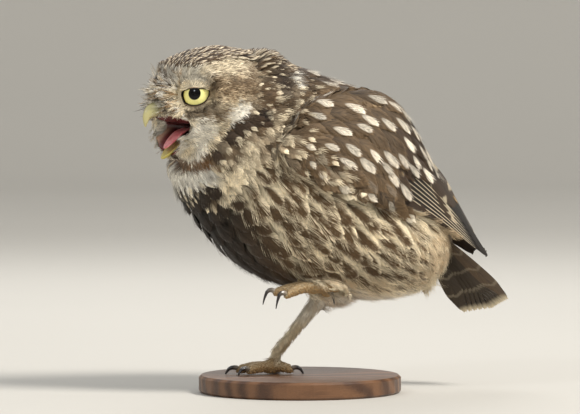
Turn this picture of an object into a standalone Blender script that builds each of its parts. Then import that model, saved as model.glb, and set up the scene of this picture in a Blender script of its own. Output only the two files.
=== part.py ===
"""Little owl, life size, standing on its right foot on a plain round base with the left foot raised.

The bird faces -X, its left side towards -Y, with +Z up and the origin at the centre of the base's
underside. The head is turned towards the bird's left and the bill is open, as in a call. Sizes below
are in millimetres; the objects are made in metres.
"""
import math

import bmesh
import bpy
import numpy as np
from mathutils import Matrix, Vector
from mathutils.bvhtree import BVHTree

MM = 0.001

# Driving dimensions
GAP = 0.4
BASE_RADIUS = 52.0
BASE_HEIGHT = 9.0
HEAD_CENTRE = (-49.6, -4.0, 150.8)
HEAD_TURN = math.radians(19.0)
HEAD_RADII = (31.0, 30.5, 26.0)
HEAD_FULLNESS = 2.25
EYE_RADIUS = 8.8
EYE_CENTRE = (11.9, 11.1, 2.3)
EYE_AXIS = (0.84, 0.54, 0.03)
JAW_POINT = (14.5, -14.6)
JAW_RISE = 0.3
TAIL_LENGTH = 51.0
TAIL_ROOT = (71.5, 0.0, 78.5)
TAIL_ANGLES = (48.0, -22.0, 10.0)
TAIL_THICKNESS = 1.8
WING_THICKNESS = 2.4
TOE_RADIUS = 3.2

# Body stations from nape to vent: back x and z, breast x and z, half width
BODY_STATIONS = (
    (-38.0, 172.6, -58.0, 124.0, 23.0),
    (-17.0, 174.4, -69.0, 113.5, 31.0),
    (0.0, 168.0, -66.0, 104.0, 35.0),
    (16.0, 162.0, -60.5, 95.0, 39.0),
    (32.0, 156.5, -51.5, 82.5, 42.5),
    (45.0, 149.0, -40.0, 71.0, 44.5),
    (55.0, 138.0, -26.5, 61.5, 45.0),
    (64.0, 122.0, -8.0, 54.5, 43.5),
    (70.5, 107.0, 13.0, 50.0, 39.5),
    (75.0, 96.0, 34.0, 47.0, 34.0),
    (77.5, 89.0, 53.0, 48.3, 26.0),
    (79.0, 84.0, 67.5, 54.5, 17.0),
    (79.0, 79.0, 76.0, 64.0, 8.0),
)

# Folded wing in side view: upper and lower edge x and z, and half span there, from wrist to tip
WING_STATIONS = (
    (-10.0, 144.0, -23.0, 128.0, 36.0),
    (6.0, 152.5, -18.0, 115.0, 42.0),
    (28.0, 156.5, 8.0, 104.0, 45.5),
    (47.0, 146.5, 32.0, 97.0, 44.0),
    (57.0, 130.5, 54.0, 91.5, 37.0),
    (68.5, 111.0, 69.0, 83.5, 28.5),
    (80.0, 97.5, 80.0, 78.0, 21.0),
    (86.3, 84.5, 89.5, 72.0, 14.5),
    (97.3, 71.0, 96.5, 67.3, 10.5),
)

PLUMAGE = (0.25, 0.17, 0.10)
PALE_PLUMAGE = (0.62, 0.54, 0.43)
FOOT_BUFF = (0.56, 0.42, 0.26)
HORN_YELLOW = (0.66, 0.58, 0.20)
CLAW_DARK = (0.06, 0.05, 0.05)
MOUTH_PINK = (0.65, 0.20, 0.20)
EYE_YELLOW = (0.85, 0.75, 0.15)
BASE_WOOD = (0.23, 0.14, 0.08)


def remove_old_objects():
    """Empties the file of objects, meshes they used included."""
    for old in list(bpy.data.objects):
        bpy.data.objects.remove(old, do_unlink=True)


def collection(name):
    """A new collection linked to the scene."""
    made = bpy.data.collections.new(name)
    bpy.context.scene.collection.children.link(made)
    return made


def material(name, colour, roughness):
    """A plain Principled material."""
    made = bpy.data.materials.new(name)
    made.use_nodes = True
    shader = made.node_tree.nodes["Principled BSDF"]
    shader.inputs["Base Color"].default_value = (*colour, 1.0)
    shader.inputs["Roughness"].default_value = roughness
    return made


def spline(rows, count):
    """A smooth curve through rows of numbers, as count rows spaced evenly in row number."""
    rows = np.asarray(rows, float)
    last = len(rows) - 1
    at = np.linspace(0.0, last, count)
    cell = np.minimum(at.astype(int), last - 1)
    u = (at - cell)[:, None]
    before = rows[np.maximum(cell - 1, 0)]
    start, end = rows[cell], rows[cell + 1]
    after = rows[np.minimum(cell + 2, last)]
    slope_in, slope_out = (end - before) / 2.0, (after - start) / 2.0
    return (
        start * (2 * u**3 - 3 * u**2 + 1)
        + slope_in * (u**3 - 2 * u**2 + u)
        + end * (3 * u**2 - 2 * u**3)
        + slope_out * (u**3 - u**2)
    )


def new_object(name, mesh, group):
    """An object for a mesh, linked to a collection."""
    made = bpy.data.objects.new(name, mesh)
    group.objects.link(made)
    return made


def loft(name, rings, group):
    """A closed body through rings of points in millimetres, with a fan at each end."""
    count, around = rings.shape[:2]
    ends = rings[[0, -1]].mean(axis=1)
    points = np.concatenate([rings.reshape(-1, 3), ends]) * MM
    faces = []
    for i in range(count - 1):
        for j in range(around):
            k = (j + 1) % around
            faces.append((i * around + j, i * around + k, (i + 1) * around + k, (i + 1) * around + j))
    first, last = count * around, count * around + 1
    for j in range(around):
        k = (j + 1) % around
        faces.append((first, k, j))
        faces.append((last, (count - 1) * around + j, (count - 1) * around + k))
    mesh = bpy.data.meshes.new(name)
    mesh.from_pydata([tuple(p) for p in points], [], faces)
    face_outwards(mesh)
    return new_object(name, mesh, group)


def face_outwards(mesh):
    """Turns every face of a closed mesh outwards."""
    work = bmesh.new()
    work.from_mesh(mesh)
    bmesh.ops.recalc_face_normals(work, faces=work.faces)
    work.to_mesh(mesh)
    work.free()


def evaluated_mesh(source):
    """The object's mesh with its modifiers, in world place, doubles merged."""
    bpy.context.view_layer.update()
    shown = source.evaluated_get(bpy.context.evaluated_depsgraph_get())
    mesh = bpy.data.meshes.new_from_object(shown)
    mesh.transform(source.matrix_world)
    work = bmesh.new()
    work.from_mesh(mesh)
    bmesh.ops.remove_doubles(work, verts=work.verts, dist=0.00001)
    bmesh.ops.recalc_face_normals(work, faces=work.faces)
    work.to_mesh(mesh)
    work.free()
    return mesh


def settle(source):
    """Applies the object's modifiers and place, and turns a curve into a mesh object."""
    mesh = evaluated_mesh(source)
    name, group = source.name, source.users_collection[0]
    bpy.data.objects.remove(source, do_unlink=True)
    mesh.name = name
    return new_object(name, mesh, group)


def combine(target, cutter, operation):
    """A Boolean of target with cutter, applied. The cutter stays."""
    modifier = target.modifiers.new(operation.lower(), "BOOLEAN")
    modifier.operation = operation
    modifier.solver = "EXACT"
    modifier.object = cutter
    return settle(target)


def grown(source, margin, cutters):
    """A copy of a solid whose surface stands margin millimetres further out, for cutting a clear gap."""
    mesh = evaluated_mesh(source)
    count = len(mesh.vertices)
    points, normals = np.empty(count * 3), np.empty(count * 3)
    mesh.vertices.foreach_get("co", points)
    mesh.vertex_normals.foreach_get("vector", normals)
    mesh.vertices.foreach_set("co", points + normals * margin * MM)
    copy = new_object(source.name + "_cutter", mesh, cutters)
    copy.hide_render = True
    copy.display_type = "WIRE"
    return copy


def cut_by(target, solids, cutters):
    """Takes the grown shape of each solid out of target."""
    for solid in solids:
        target = combine(target, grown(solid, GAP, cutters), "DIFFERENCE")
    return target


def tube(name, points, radii, group, sides=2):
    """A tapered tube along points in millimetres, closed at both ends."""
    curve = bpy.data.curves.new(name, "CURVE")
    curve.dimensions = "3D"
    curve.bevel_depth = MM
    curve.bevel_resolution = sides
    curve.use_fill_caps = True
    line = curve.splines.new("POLY")
    line.points.add(len(points) - 1)
    for point, place, radius in zip(line.points, points, radii):
        point.co = (*(Vector(place) * MM), 1.0)
        point.radius = radius
    made = bpy.data.objects.new(name, curve)
    group.objects.link(made)
    return settle(made)


def rounded_tube(name, route, radii, group, steps=9, sides=2):
    """A tube on a smooth curve through route, with smoothly changing radius and rounded ends."""
    rows = spline([(*place, radius) for place, radius in zip(route, radii)], steps)
    way = rows[1] - rows[0]
    back = rows[0][:3] - way[:3] / np.linalg.norm(way[:3]) * rows[0][3] * 0.6
    out = rows[-1] - rows[-2]
    ahead = rows[-1][:3] + out[:3] / np.linalg.norm(out[:3]) * rows[-1][3] * 0.6
    points = [tuple(back), *[tuple(row[:3]) for row in rows], tuple(ahead)]
    sizes = [rows[0][3] * 0.55, *rows[:, 3], rows[-1][3] * 0.55]
    return tube(name, points, sizes, group, sides)


def half_space(name, point, normal, cutters):
    """A large box whose face passes through point, filling the side that normal points to."""
    side = 0.6
    bpy.ops.mesh.primitive_cube_add(size=side)
    box = bpy.context.object
    box.name = name
    for old in list(box.users_collection):
        old.objects.unlink(box)
    cutters.objects.link(box)
    box.hide_render = True
    box.display_type = "WIRE"
    way = Vector(normal).normalized()
    box.rotation_euler = way.to_track_quat("Z", "Y").to_euler()
    box.location = Vector(point) * MM + way * side / 2
    return box


def duplicate(source, name):
    """A copy of an object with its own mesh."""
    return new_object(name, source.data.copy(), source.users_collection[0])


def head_matrix():
    """Head frame to row frame, in metres: x forward along the bill, y to the bird's left, z up."""
    turn = Matrix.Rotation(math.pi + HEAD_TURN, 4, "Z")
    return Matrix.Translation(Vector(HEAD_CENTRE) * MM) @ turn


def in_head(point):
    """A point of the head frame, in row frame millimetres."""
    return tuple(head_matrix() @ (Vector(point) * MM) / MM)


def body_whole(group):
    """Neck and trunk as one loft: each ring is an ellipse between a back point and a breast point."""
    around = 28
    rows = spline(BODY_STATIONS, 24)
    turn = np.linspace(0.0, 2 * math.pi, around, endpoint=False)
    back = np.stack([rows[:, 0], np.zeros(len(rows)), rows[:, 1]], axis=1)
    breast = np.stack([rows[:, 2], np.zeros(len(rows)), rows[:, 3]], axis=1)
    middle, reach = (back + breast) / 2, (back - breast) / 2
    rings = middle[:, None] + reach[:, None] * np.cos(turn)[None, :, None]
    rings[:, :, 1] += rows[:, 4][:, None] * np.sin(turn)[None]
    return loft("whole", rings, group)


def bump(ways, centre, reach, height, power=2):
    """Height of a round swelling of a sphere's surface, by angle from its centre direction."""
    centre = np.asarray(centre, float) / np.linalg.norm(centre)
    angle = np.degrees(np.arccos(np.clip(ways @ centre, -1.0, 1.0)))
    return height * np.exp(-((angle / reach) ** power))


def head_ball(group):
    """The feathered head: a full sphere swelled at brows, bridge and chin and sunk at the eyes."""
    mesh = bpy.data.meshes.new("head_ball")
    work = bmesh.new()
    bmesh.ops.create_uvsphere(work, u_segments=32, v_segments=20, radius=1.0)
    work.to_mesh(mesh)
    work.free()
    ways = np.empty(len(mesh.vertices) * 3)
    mesh.vertices.foreach_get("co", ways)
    ways = ways.reshape(-1, 3)
    ways /= np.linalg.norm(ways, axis=1)[:, None]
    share = np.abs(ways / np.array(HEAD_RADII)) ** HEAD_FULLNESS
    radius = share.sum(axis=1) ** (-1.0 / HEAD_FULLNESS)
    radius += bump(ways, (0.95, 0.0, 0.05), 16.0, 2.0)
    radius += bump(ways, (-0.40, 0.0, 0.92), 30.0, 2.4)
    radius += bump(ways, (0.62, 0.0, -0.78), 24.0, 9.5)
    for side in (1.0, -1.0):
        radius += bump(ways, (0.72, 0.52 * side, 0.50), 15.0, 1.6)
        radius += bump(ways, (0.60, 0.66 * side, -0.36), 17.0, 1.0)
        radius -= bump(ways, (0.77, 0.62 * side, 0.10), 23.0, 9.2, 6)
    mesh.vertices.foreach_set("co", (ways * radius[:, None] * MM).ravel())
    mesh.transform(head_matrix())
    return new_object("head_ball", mesh, group)


def mouth_wedge(cutters):
    """The open mouth: a wedge that widens forwards between upper bill and lower jaw.

    Beside the bill it starts further forward the further out it is, because the cheeks recede there, and its
    upper side stays over the line where the jaw is parted from the head.
    """
    half, straight, recede = 24.0, 7.0, 1.07
    outline = (
        (11.0, -12.4),
        (16.5, -12.2),
        (21.0, -8.9),
        (27.0, -8.4),
        (48.0, -8.4),
        (51.0, -60.0),
        (16.5, -18.0),
        (11.0, -15.2),
    )
    rings = []
    for aside in (-half, -straight, straight, half):
        shift = (abs(aside) - straight) * recede
        ring = []
        for f, u in outline:
            part_line = JAW_POINT[1] + JAW_RISE * (f + shift - JAW_POINT[0]) + GAP
            ring.append(in_head((f + shift, aside, max(u, part_line) if u > -13.0 else u)))
        rings.append(ring)
    wedge = loft("mouth_cutter", np.array(rings), cutters)
    wedge.hide_render = True
    wedge.display_type = "WIRE"
    return wedge


def horn_loft(name, stations, group, around=10):
    """A horn shape in the head frame. Stations: forward, up, half width, half height."""
    rows = spline(stations, 9)
    way = np.gradient(rows[:, :2], axis=0)
    way /= np.linalg.norm(way, axis=1)[:, None]
    rings = []
    for (f, u, width, height), (df, du) in zip(rows, way):
        turn = np.linspace(0.0, 2 * math.pi, around, endpoint=False)
        rise = np.sin(turn) * height
        rings.append([
            in_head((f - du * r, math.cos(a) * width, u + df * r)) for a, r in zip(turn, rise)
        ])
    return loft(name, np.array(rings), group)


def bill_upper(group):
    """The hooked upper bill."""
    stations = (
        (25.0, -4.2, 5.0, 4.3),
        (30.0, -4.1, 4.4, 4.3),
        (34.4, -5.6, 3.3, 3.6),
        (37.2, -8.9, 1.9, 2.2),
        (37.7, -13.3, 0.4, 0.4),
    )
    return horn_loft("bill_upper", stations, group)


def bill_lower(group):
    """The lower bill, hinged far down."""
    stations = (
        (16.4, -18.9, 6.6, 1.3),
        (20.4, -22.5, 5.6, 1.5),
        (24.4, -26.3, 3.8, 1.5),
        (27.0, -28.7, 1.8, 1.1),
        (28.0, -29.6, 0.5, 0.4),
    )
    return horn_loft("bill_lower", stations, group)


def tongue(group):
    """The tongue, lying clear above the lower bill."""
    stations = (
        (13.5, -14.4, 2.6, 0.7),
        (17.5, -16.4, 3.2, 0.9),
        (21.5, -19.4, 2.9, 0.9),
        (25.0, -22.8, 1.4, 0.5),
    )
    return horn_loft("tongue", stations, group, 8)


def eye(name, side, group):
    """An eyeball with its cornea bulging along the eye's axis."""
    mesh = bpy.data.meshes.new(name)
    work = bmesh.new()
    bmesh.ops.create_uvsphere(work, u_segments=16, v_segments=9, radius=EYE_RADIUS * MM)
    work.to_mesh(mesh)
    work.free()
    axis = Vector((EYE_AXIS[0], EYE_AXIS[1] * side, EYE_AXIS[2])).normalized()
    turn = axis.to_track_quat("Z", "Y").to_matrix().to_4x4()
    centre = Vector((EYE_CENTRE[0], EYE_CENTRE[1] * side, EYE_CENTRE[2])) * MM
    mesh.transform(head_matrix() @ Matrix.Translation(centre) @ turn)
    return new_object(name, mesh, group)


def wing(name, side, whole, group):
    """A folded wing: a curved plate that lies on the body's flank and runs out to the wing tip."""
    along, across = 17, 8
    reach = 0.2
    tree = BVHTree.FromObject(whole, bpy.context.evaluated_depsgraph_get())
    rows = spline(WING_STATIONS, along)
    mesh = bpy.data.meshes.new(name)
    points = []
    for row in rows:
        for step in range(across):
            drop = 1.0 - math.cos(step / (across - 1) * math.pi / 2)
            x = row[0] + (row[2] - row[0]) * drop
            z = row[1] + (row[3] - row[1]) * drop
            own = row[4] * (0.30 + 0.66 * math.sin(drop**0.6 * math.pi / 2))
            start = Vector((x * MM, side * reach, z * MM))
            hit = tree.ray_cast(start, Vector((0.0, -side, 0.0)))[0]
            flank = abs(hit.y) / MM + 1.3 if hit is not None else 0.0
            points.append((x * MM, side * max(own, flank) * MM, z * MM))
    points = smoothed_grid(np.array(points).reshape(along, across, 3)).reshape(-1, 3)
    faces = [
        (i * across + j, i * across + j + 1, (i + 1) * across + j + 1, (i + 1) * across + j)
        for i in range(along - 1)
        for j in range(across - 1)
    ]
    if side < 0:
        faces = [face[::-1] for face in faces]
    mesh.from_pydata([tuple(p) for p in points], [], faces)
    made = new_object(name, mesh, group)
    shell = made.modifiers.new("thickness", "SOLIDIFY")
    shell.thickness = WING_THICKNESS * MM
    shell.offset = -1.0
    return settle(made)


def smoothed_grid(points, rounds=4):
    """Evens the sideways place of a grid of points over its neighbours, rounds times."""
    for _ in range(rounds):
        depth = np.pad(points[:, :, 1], 1, mode="edge")
        near = depth[:-2, 1:-1] + depth[2:, 1:-1] + depth[1:-1, :-2] + depth[1:-1, 2:]
        points[:, :, 1] = points[:, :, 1] * 0.5 + near * 0.125
    return points


def tail(group):
    """The closed tail: twelve overlapping feathers as one thin arched plate, turned and rolled to its right."""
    along, across = 9, 7
    slope, roll, turn = (math.radians(angle) for angle in TAIL_ANGLES)
    way = np.array((math.cos(slope) * math.cos(turn), math.cos(slope) * math.sin(turn), -math.sin(slope)))
    level = np.array((-math.sin(turn), math.cos(turn), 0.0))
    side = level * math.cos(roll) + np.cross(way, level) * math.sin(roll)
    above = np.cross(way, side)
    root = np.array(TAIL_ROOT)
    half_widths = spline(((11.0,), (15.0,), (18.5,), (21.0,), (22.0,), (17.0,)), along)[:, 0]
    points = []
    for i, half in enumerate(half_widths):
        run = TAIL_LENGTH * i / (along - 1)
        for j in range(across):
            k = 2.0 * j / (across - 1) - 1.0
            cut_back = 3.0 * k * k * (i / (along - 1)) ** 4
            points.append((root + way * (run - cut_back) + side * k * half - above * 2.0 * k * k) * MM)
    faces = [
        (i * across + j, i * across + j + 1, (i + 1) * across + j + 1, (i + 1) * across + j)
        for i in range(along - 1)
        for j in range(across - 1)
    ]
    mesh = bpy.data.meshes.new("tail")
    mesh.from_pydata([tuple(p) for p in points], [], faces)
    made = new_object("tail", mesh, group)
    shell = made.modifiers.new("thickness", "SOLIDIFY")
    shell.thickness = TAIL_THICKNESS * MM
    shell.offset = 0.0
    return settle(made)


def claw_point(bend, start=math.radians(-20.0), end=math.radians(80.0)):
    """Share of a claw's reach and of its drop where it has turned down by an angle."""
    reach = (math.sin(bend) - math.sin(start)) / (math.sin(end) - math.sin(start))
    sink = (math.cos(start) - math.cos(bend)) / (math.cos(start) - math.cos(end))
    return reach, sink


def foot(side_name, pad, outer, toes, floor, group, cutters):
    """A foot: the pad, four toes and four claws. With a floor, the undersides are cut flat on it.

    Each toe gives its azimuth from straight ahead towards the outer side, its length, how far its
    tip drops, and how far the claw reaches forwards and drops.
    """
    x, y, z = pad
    width = TOE_RADIUS
    ball = rounded_tube(
        f"foot_{side_name}",
        ((x + 2.5, y, z + 0.6), (x, y, z), (x - 2.5, y, z - 0.4)),
        (width + 1.0, width + 1.4, width + 0.6),
        group,
        5,
    )
    pieces = [ball]
    for number, (azimuth, length, drop, claw_run, claw_drop) in enumerate(toes, start=1):
        turn = math.radians(azimuth)
        way = (-math.cos(turn), math.sin(turn) * outer)
        route = []
        for share, lift in ((0.15, 0.0), (0.45, 0.5), (0.75, 0.3), (1.0, 0.0)):
            run = length * share
            route.append((x + way[0] * run, y + way[1] * run, z - drop * share**1.5 + lift))
        toe = rounded_tube(
            f"toe_{side_name}_{number}",
            route,
            (width, width, width * 0.92, width * 0.80),
            group,
            6,
        )
        end = route[-1]
        arc = []
        for bend in (-20.0, 8.0, 38.0, 80.0):
            run, sink = claw_point(math.radians(bend))
            run = claw_run * run + length + 0.4
            arc.append((x + way[0] * run, y + way[1] * run, end[2] + 0.9 - claw_drop * sink))
        claw = rounded_tube(f"claw_{side_name}_{number}", arc, (1.5, 1.3, 0.9, 0.3), group, 6, 1)
        toe = cut_by(toe, [claw, *pieces[:1], *pieces[1::2]], cutters)
        pieces += [toe, claw]
    if floor is not None:
        ground = half_space(f"floor_{side_name}", (0.0, 0.0, floor), (0.0, 0.0, -1.0), cutters)
        pieces = [combine(piece, ground, "DIFFERENCE") for piece in pieces]
    return pieces


def base(group):
    """The plain round display base with a bevelled rim."""
    bpy.ops.mesh.primitive_cylinder_add(
        vertices=48,
        radius=BASE_RADIUS * MM,
        depth=BASE_HEIGHT * MM,
        location=(0.0, 0.0, BASE_HEIGHT * MM / 2),
    )
    made = bpy.context.object
    made.name = "stand_base"
    for old in list(made.users_collection):
        old.objects.unlink(made)
    group.objects.link(made)
    rim = made.modifiers.new("rim", "BEVEL")
    rim.width = 1.2 * MM
    rim.segments = 1
    rim.limit_method = "ANGLE"
    return settle(made)


def divide_body(whole, cutters):
    """Parts the whole body into head, jaw, neck and trunk with thin cuts."""
    neck_way = Vector((0.69, 0.0, -0.72))
    head_cut, neck_cut = Vector((-37.0, 0.0, 141.5)), Vector((-27.5, 0.0, 131.6))
    thin = neck_way.normalized() * GAP
    after_head = half_space("after_head", head_cut, neck_way, cutters)
    before_neck = half_space("before_neck", head_cut + thin, -neck_way, cutters)
    after_neck = half_space("after_neck", neck_cut, neck_way, cutters)
    before_trunk = half_space("before_trunk", neck_cut + thin, -neck_way, cutters)

    head = combine(duplicate(whole, "head"), after_head, "DIFFERENCE")
    neck = combine(duplicate(whole, "neck"), before_neck, "DIFFERENCE")
    neck = combine(neck, after_neck, "DIFFERENCE")
    trunk = combine(duplicate(whole, "trunk"), before_trunk, "DIFFERENCE")

    jaw_way = head_matrix().to_3x3() @ Vector((JAW_RISE, 0.0, -1.0))
    jaw_point = Vector(in_head((JAW_POINT[0], 0.0, JAW_POINT[1])))
    below = half_space("below_jaw_line", jaw_point, jaw_way, cutters)
    above = half_space("above_jaw_line", jaw_point + jaw_way.normalized() * GAP, -jaw_way, cutters)
    jaw = combine(duplicate(head, "jaw"), above, "DIFFERENCE")
    head = combine(head, below, "DIFFERENCE")
    bpy.data.objects.remove(whole, do_unlink=True)
    return head, jaw, neck, trunk


def paint(objects, finish, smooth_angle=50.0):
    """Gives objects a material and smooth shading."""
    for item in objects:
        item.data.materials.clear()
        item.data.materials.append(finish)
        item.data.shade_smooth()
        item.data.set_sharp_from_angle(angle=math.radians(smooth_angle))


def main():
    """Builds every piece of the owl and its base."""
    remove_old_objects()
    owl = collection("little_owl")
    cutters = collection("cutters")

    whole = combine(body_whole(owl), head_ball(cutters), "UNION")
    bpy.data.objects.remove(bpy.data.objects["head_ball"], do_unlink=True)
    whole = combine(whole, mouth_wedge(cutters), "DIFFERENCE")
    wings = [wing("wing_left", -1.0, whole, owl), wing("wing_right", 1.0, whole, owl)]
    rear = cut_by(tail(owl), [whole, *wings], cutters)

    right_pad = (-14.0, 6.0, BASE_HEIGHT + TOE_RADIUS + 0.9)
    left_pad = (0.5, -25.5, 56.0)
    right_toes = (
        (-158.0, 11.0, 1.6, 6.0, 4.2),
        (-21.0, 14.0, 1.6, 6.5, 4.2),
        (7.0, 17.0, 1.6, 6.5, 4.2),
        (118.0, 13.0, 1.6, 6.5, 4.2),
    )
    left_toes = (
        (-148.0, 10.5, 4.4, 4.4, 6.4),
        (-12.0, 20.0, 3.2, 5.6, 7.0),
        (18.0, 17.0, 4.0, 5.6, 7.6),
        (162.0, 13.0, 1.2, 4.4, 6.8),
    )
    right_foot = foot("right", right_pad, 1.0, right_toes, BASE_HEIGHT + 0.3, owl, cutters)
    left_foot = foot("left", left_pad, -1.0, left_toes, None, owl, cutters)
    left_pads = [piece for piece in left_foot if not piece.name.startswith("claw")]

    shin_right = rounded_tube(
        "tarsus_right",
        ((13.0, 8.8, 47.5), (1.0, 7.7, 33.5), (-11.2, 6.5, 19.5)),
        (5.0, 3.7, 3.5),
        owl,
    )
    thigh_right = rounded_tube(
        "thigh_right",
        ((33.0, 13.0, 64.0), (22.5, 11.0, 54.5), (13.5, 9.2, 47.5)),
        (16.0, 11.5, 6.6),
        owl,
    )
    thigh_left = rounded_tube(
        "thigh_left",
        ((30.0, -24.5, 70.5), (20.0, -25.0, 65.5), (10.5, -25.5, 60.5)),
        (7.5, 6.8, 5.0),
        owl,
    )
    shin_right = cut_by(shin_right, right_foot[:1], cutters)
    thigh_right = cut_by(thigh_right, [shin_right, whole], cutters)
    thigh_left = cut_by(thigh_left, left_pads, cutters)

    head, jaw, neck, trunk = divide_body(whole, cutters)
    horn = [bill_upper(owl), bill_lower(owl)]
    lick = tongue(owl)
    eyes = [eye("eye_left", 1.0, owl), eye("eye_right", -1.0, owl)]
    head = cut_by(head, [*eyes, horn[0], lick], cutters)
    jaw = cut_by(jaw, [horn[1], lick], cutters)
    neck = cut_by(neck, wings, cutters)
    trunk = cut_by(trunk, [*wings, shin_right, thigh_left, *left_foot], cutters)

    paint([head, neck, trunk, *wings, rear], material("plumage", PLUMAGE, 0.85))
    paint([jaw, thigh_left, thigh_right, shin_right], material("pale_plumage", PALE_PLUMAGE, 0.85))
    pads = [*left_pads, *(piece for piece in right_foot if not piece.name.startswith("claw"))]
    claws = [piece for piece in (*left_foot, *right_foot) if piece.name.startswith("claw")]
    paint(pads, material("foot_skin", FOOT_BUFF, 0.7))
    paint(claws, material("claw_horn", CLAW_DARK, 0.3))
    paint(horn, material("bill_horn", HORN_YELLOW, 0.35))
    paint([lick], material("mouth_flesh", MOUTH_PINK, 0.3))
    paint(eyes, material("eye_surface", EYE_YELLOW, 0.05))
    paint([base(owl)], material("base_wood", BASE_WOOD, 0.45))


main()
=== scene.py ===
"""Looks of a life-size little owl model: its skin, its coat of solid feathers, eyes, bill, claws and round
base."""

import logging
import math
from collections.abc import Callable
from dataclasses import dataclass, fields, replace
from enum import Enum

import bpy
import numpy as np
from mathutils.bvhtree import BVHTree
from mathutils.kdtree import KDTree
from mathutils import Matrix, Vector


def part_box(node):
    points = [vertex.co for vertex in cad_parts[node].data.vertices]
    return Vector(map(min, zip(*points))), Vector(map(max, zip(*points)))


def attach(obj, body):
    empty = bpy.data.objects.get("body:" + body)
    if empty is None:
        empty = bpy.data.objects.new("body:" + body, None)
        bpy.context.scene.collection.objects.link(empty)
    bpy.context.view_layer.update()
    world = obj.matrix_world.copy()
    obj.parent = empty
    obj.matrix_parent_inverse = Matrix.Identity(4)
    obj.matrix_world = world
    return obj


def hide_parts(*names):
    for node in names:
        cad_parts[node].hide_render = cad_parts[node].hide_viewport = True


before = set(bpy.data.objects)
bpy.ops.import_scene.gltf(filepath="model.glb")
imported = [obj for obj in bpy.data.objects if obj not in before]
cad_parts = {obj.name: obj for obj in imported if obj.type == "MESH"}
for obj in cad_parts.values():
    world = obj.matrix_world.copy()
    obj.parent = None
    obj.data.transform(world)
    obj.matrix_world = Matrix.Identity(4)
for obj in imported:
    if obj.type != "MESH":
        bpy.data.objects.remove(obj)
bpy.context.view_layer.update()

log = logging.getLogger("little_owl")
rng = np.random.default_rng

Array = np.ndarray
Material = bpy.types.Material
Colour = tuple[float, float, float]
Pair = tuple[float, float]

MM = 0.001
BODY = "root"
UP = np.array((0.0, 0.0, 1.0))
SIDES = ("left", "right")
TOES = tuple(f"toe_{side}_{number}" for side in SIDES for number in range(1, 5))
CLAWS = tuple(toe.replace("toe", "claw") for toe in TOES)
HEAD = ("head", "jaw", "neck")
WINGS = ("wing_left", "wing_right")
THIGHS = ("thigh_left", "thigh_right")
FEET = ("foot_left", "foot_right") + TOES
FLESH = HEAD + ("trunk",) + WINGS + THIGHS + ("tarsus_right",) + FEET
EDGES = ((0, 1), (1, 2), (2, 3), (3, 0))
HALVES = ((0, 1, 2), (0, 2, 3))


def unit(rows: Array) -> Array:
    """Each row divided by its length."""
    return rows / np.maximum(np.linalg.norm(rows, axis=-1, keepdims=True), 1e-9)


def dot(one: Array, two: Array) -> Array:
    """The scalar product of matching rows, kept as a column."""
    return np.sum(one * two, axis=-1, keepdims=True)


def ease(value: Array, low: float, high: float) -> Array:
    """Smooth step: 0 at low and 1 at high, with level ends; low may be above high."""
    part = np.clip((value - low) / (high - low), 0.0, 1.0)
    return part * part * (3.0 - 2.0 * part)


def even_angles(count: int) -> Array:
    """So many even angles once round, in radians."""
    return np.arange(count) * 2 * math.pi / count


def hue(red: float, green: float, blue: float) -> Colour:
    """A colour of 0 to 255 parts, as screens state it, turned to linear light: ((c + .055) / 1.055) ^ 2.4."""
    parts = np.array((red, green, blue)) / 255.0
    return tuple(np.where(parts < 0.04045, parts / 12.92, ((parts + 0.055) / 1.055) ** 2.4).tolist())


class Hue(Enum):
    """The coat's colours, in linear light."""

    BLACK = hue(28, 22, 17)
    DARK = hue(60, 45, 31)
    BROWN = hue(92, 71, 47)
    MANTLE = hue(98, 79, 56)
    CHESTNUT = hue(124, 86, 50)
    TAN = hue(166, 134, 94)
    BUFF = hue(200, 174, 134)
    CREAM = hue(238, 223, 192)
    WHITE = hue(252, 247, 234)


def tiled(colour: Hue | Colour, count: int) -> Array:
    """One colour for each of so many feathers."""
    return np.tile(colour.value if isinstance(colour, Hue) else colour, (count, 1))


def blend(under: Array, over: Array | Hue | Colour, share: Array) -> Array:
    """One colour over another by each place's share."""
    over = np.array(over.value if isinstance(over, Hue) else over)
    return under + (over - under) * np.asarray(share, float).reshape(-1, 1)


def from_nodes(owner: Array, nodes: tuple[str, ...]) -> Array:
    """Which of the owners' numbers stand for one of these nodes."""
    return np.isin(owner, [FLESH.index(node) for node in nodes])


def value_noise(points: Array, size: float, seed: int = 0) -> Array:
    """Value noise from 0 to 1: a hashed number at each cell's eight corners, joined by the weights of ease.

    Args:
        points: Places, one row each.
        size: The cell's side, in the unit of the points.
        seed: Which of the fields is meant.

    Returns:
        One number for each row.
    """
    places = points / size
    cell = np.floor(places).astype(np.int64)
    weight = ease(places - cell, 0.0, 1.0)
    total = np.zeros(len(points))
    for corner in np.ndindex(2, 2, 2):
        x, y, z = (cell + corner).T
        code = (x * 73856093) ^ (y * 19349663) ^ (z * 83492791) ^ (seed * 2654435761)
        code = ((code ^ (code >> 13)) * 1274126177) & 0xFFFFFFFF
        number = ((code ^ (code >> 16)) & 0xFFFF) / 65535.0
        total += number * np.prod(np.where(corner, weight, 1.0 - weight), axis=1)
    return total


def through(knots: Array, count: int) -> Array:
    """A smooth curve through the knots: between two of them, the cubic whose end slopes are half the span of
    the neighbours on each side.

    Args:
        knots: Rows of any width.
        count: How many rows to read, at even parameters.

    Returns:
        The rows on the curve, the first and last knot included.
    """
    knots = np.asarray(knots, float)
    padded = np.vstack([2 * knots[0] - knots[1], knots, 2 * knots[-1] - knots[-2]])
    place = np.linspace(0, len(knots) - 1, count)
    index = np.minimum(place.astype(int), len(knots) - 2)
    part = (place - index)[:, None]
    before, start, end, after = (padded[index + shift] for shift in range(4))
    slope_in, slope_out = (end - before) / 2, (after - start) / 2
    return ((2 * part**3 - 3 * part**2 + 1) * start + (part**3 - 2 * part**2 + part) * slope_in
            + (3 * part**2 - 2 * part**3) * end + (part**3 - part**2) * slope_out)


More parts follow.
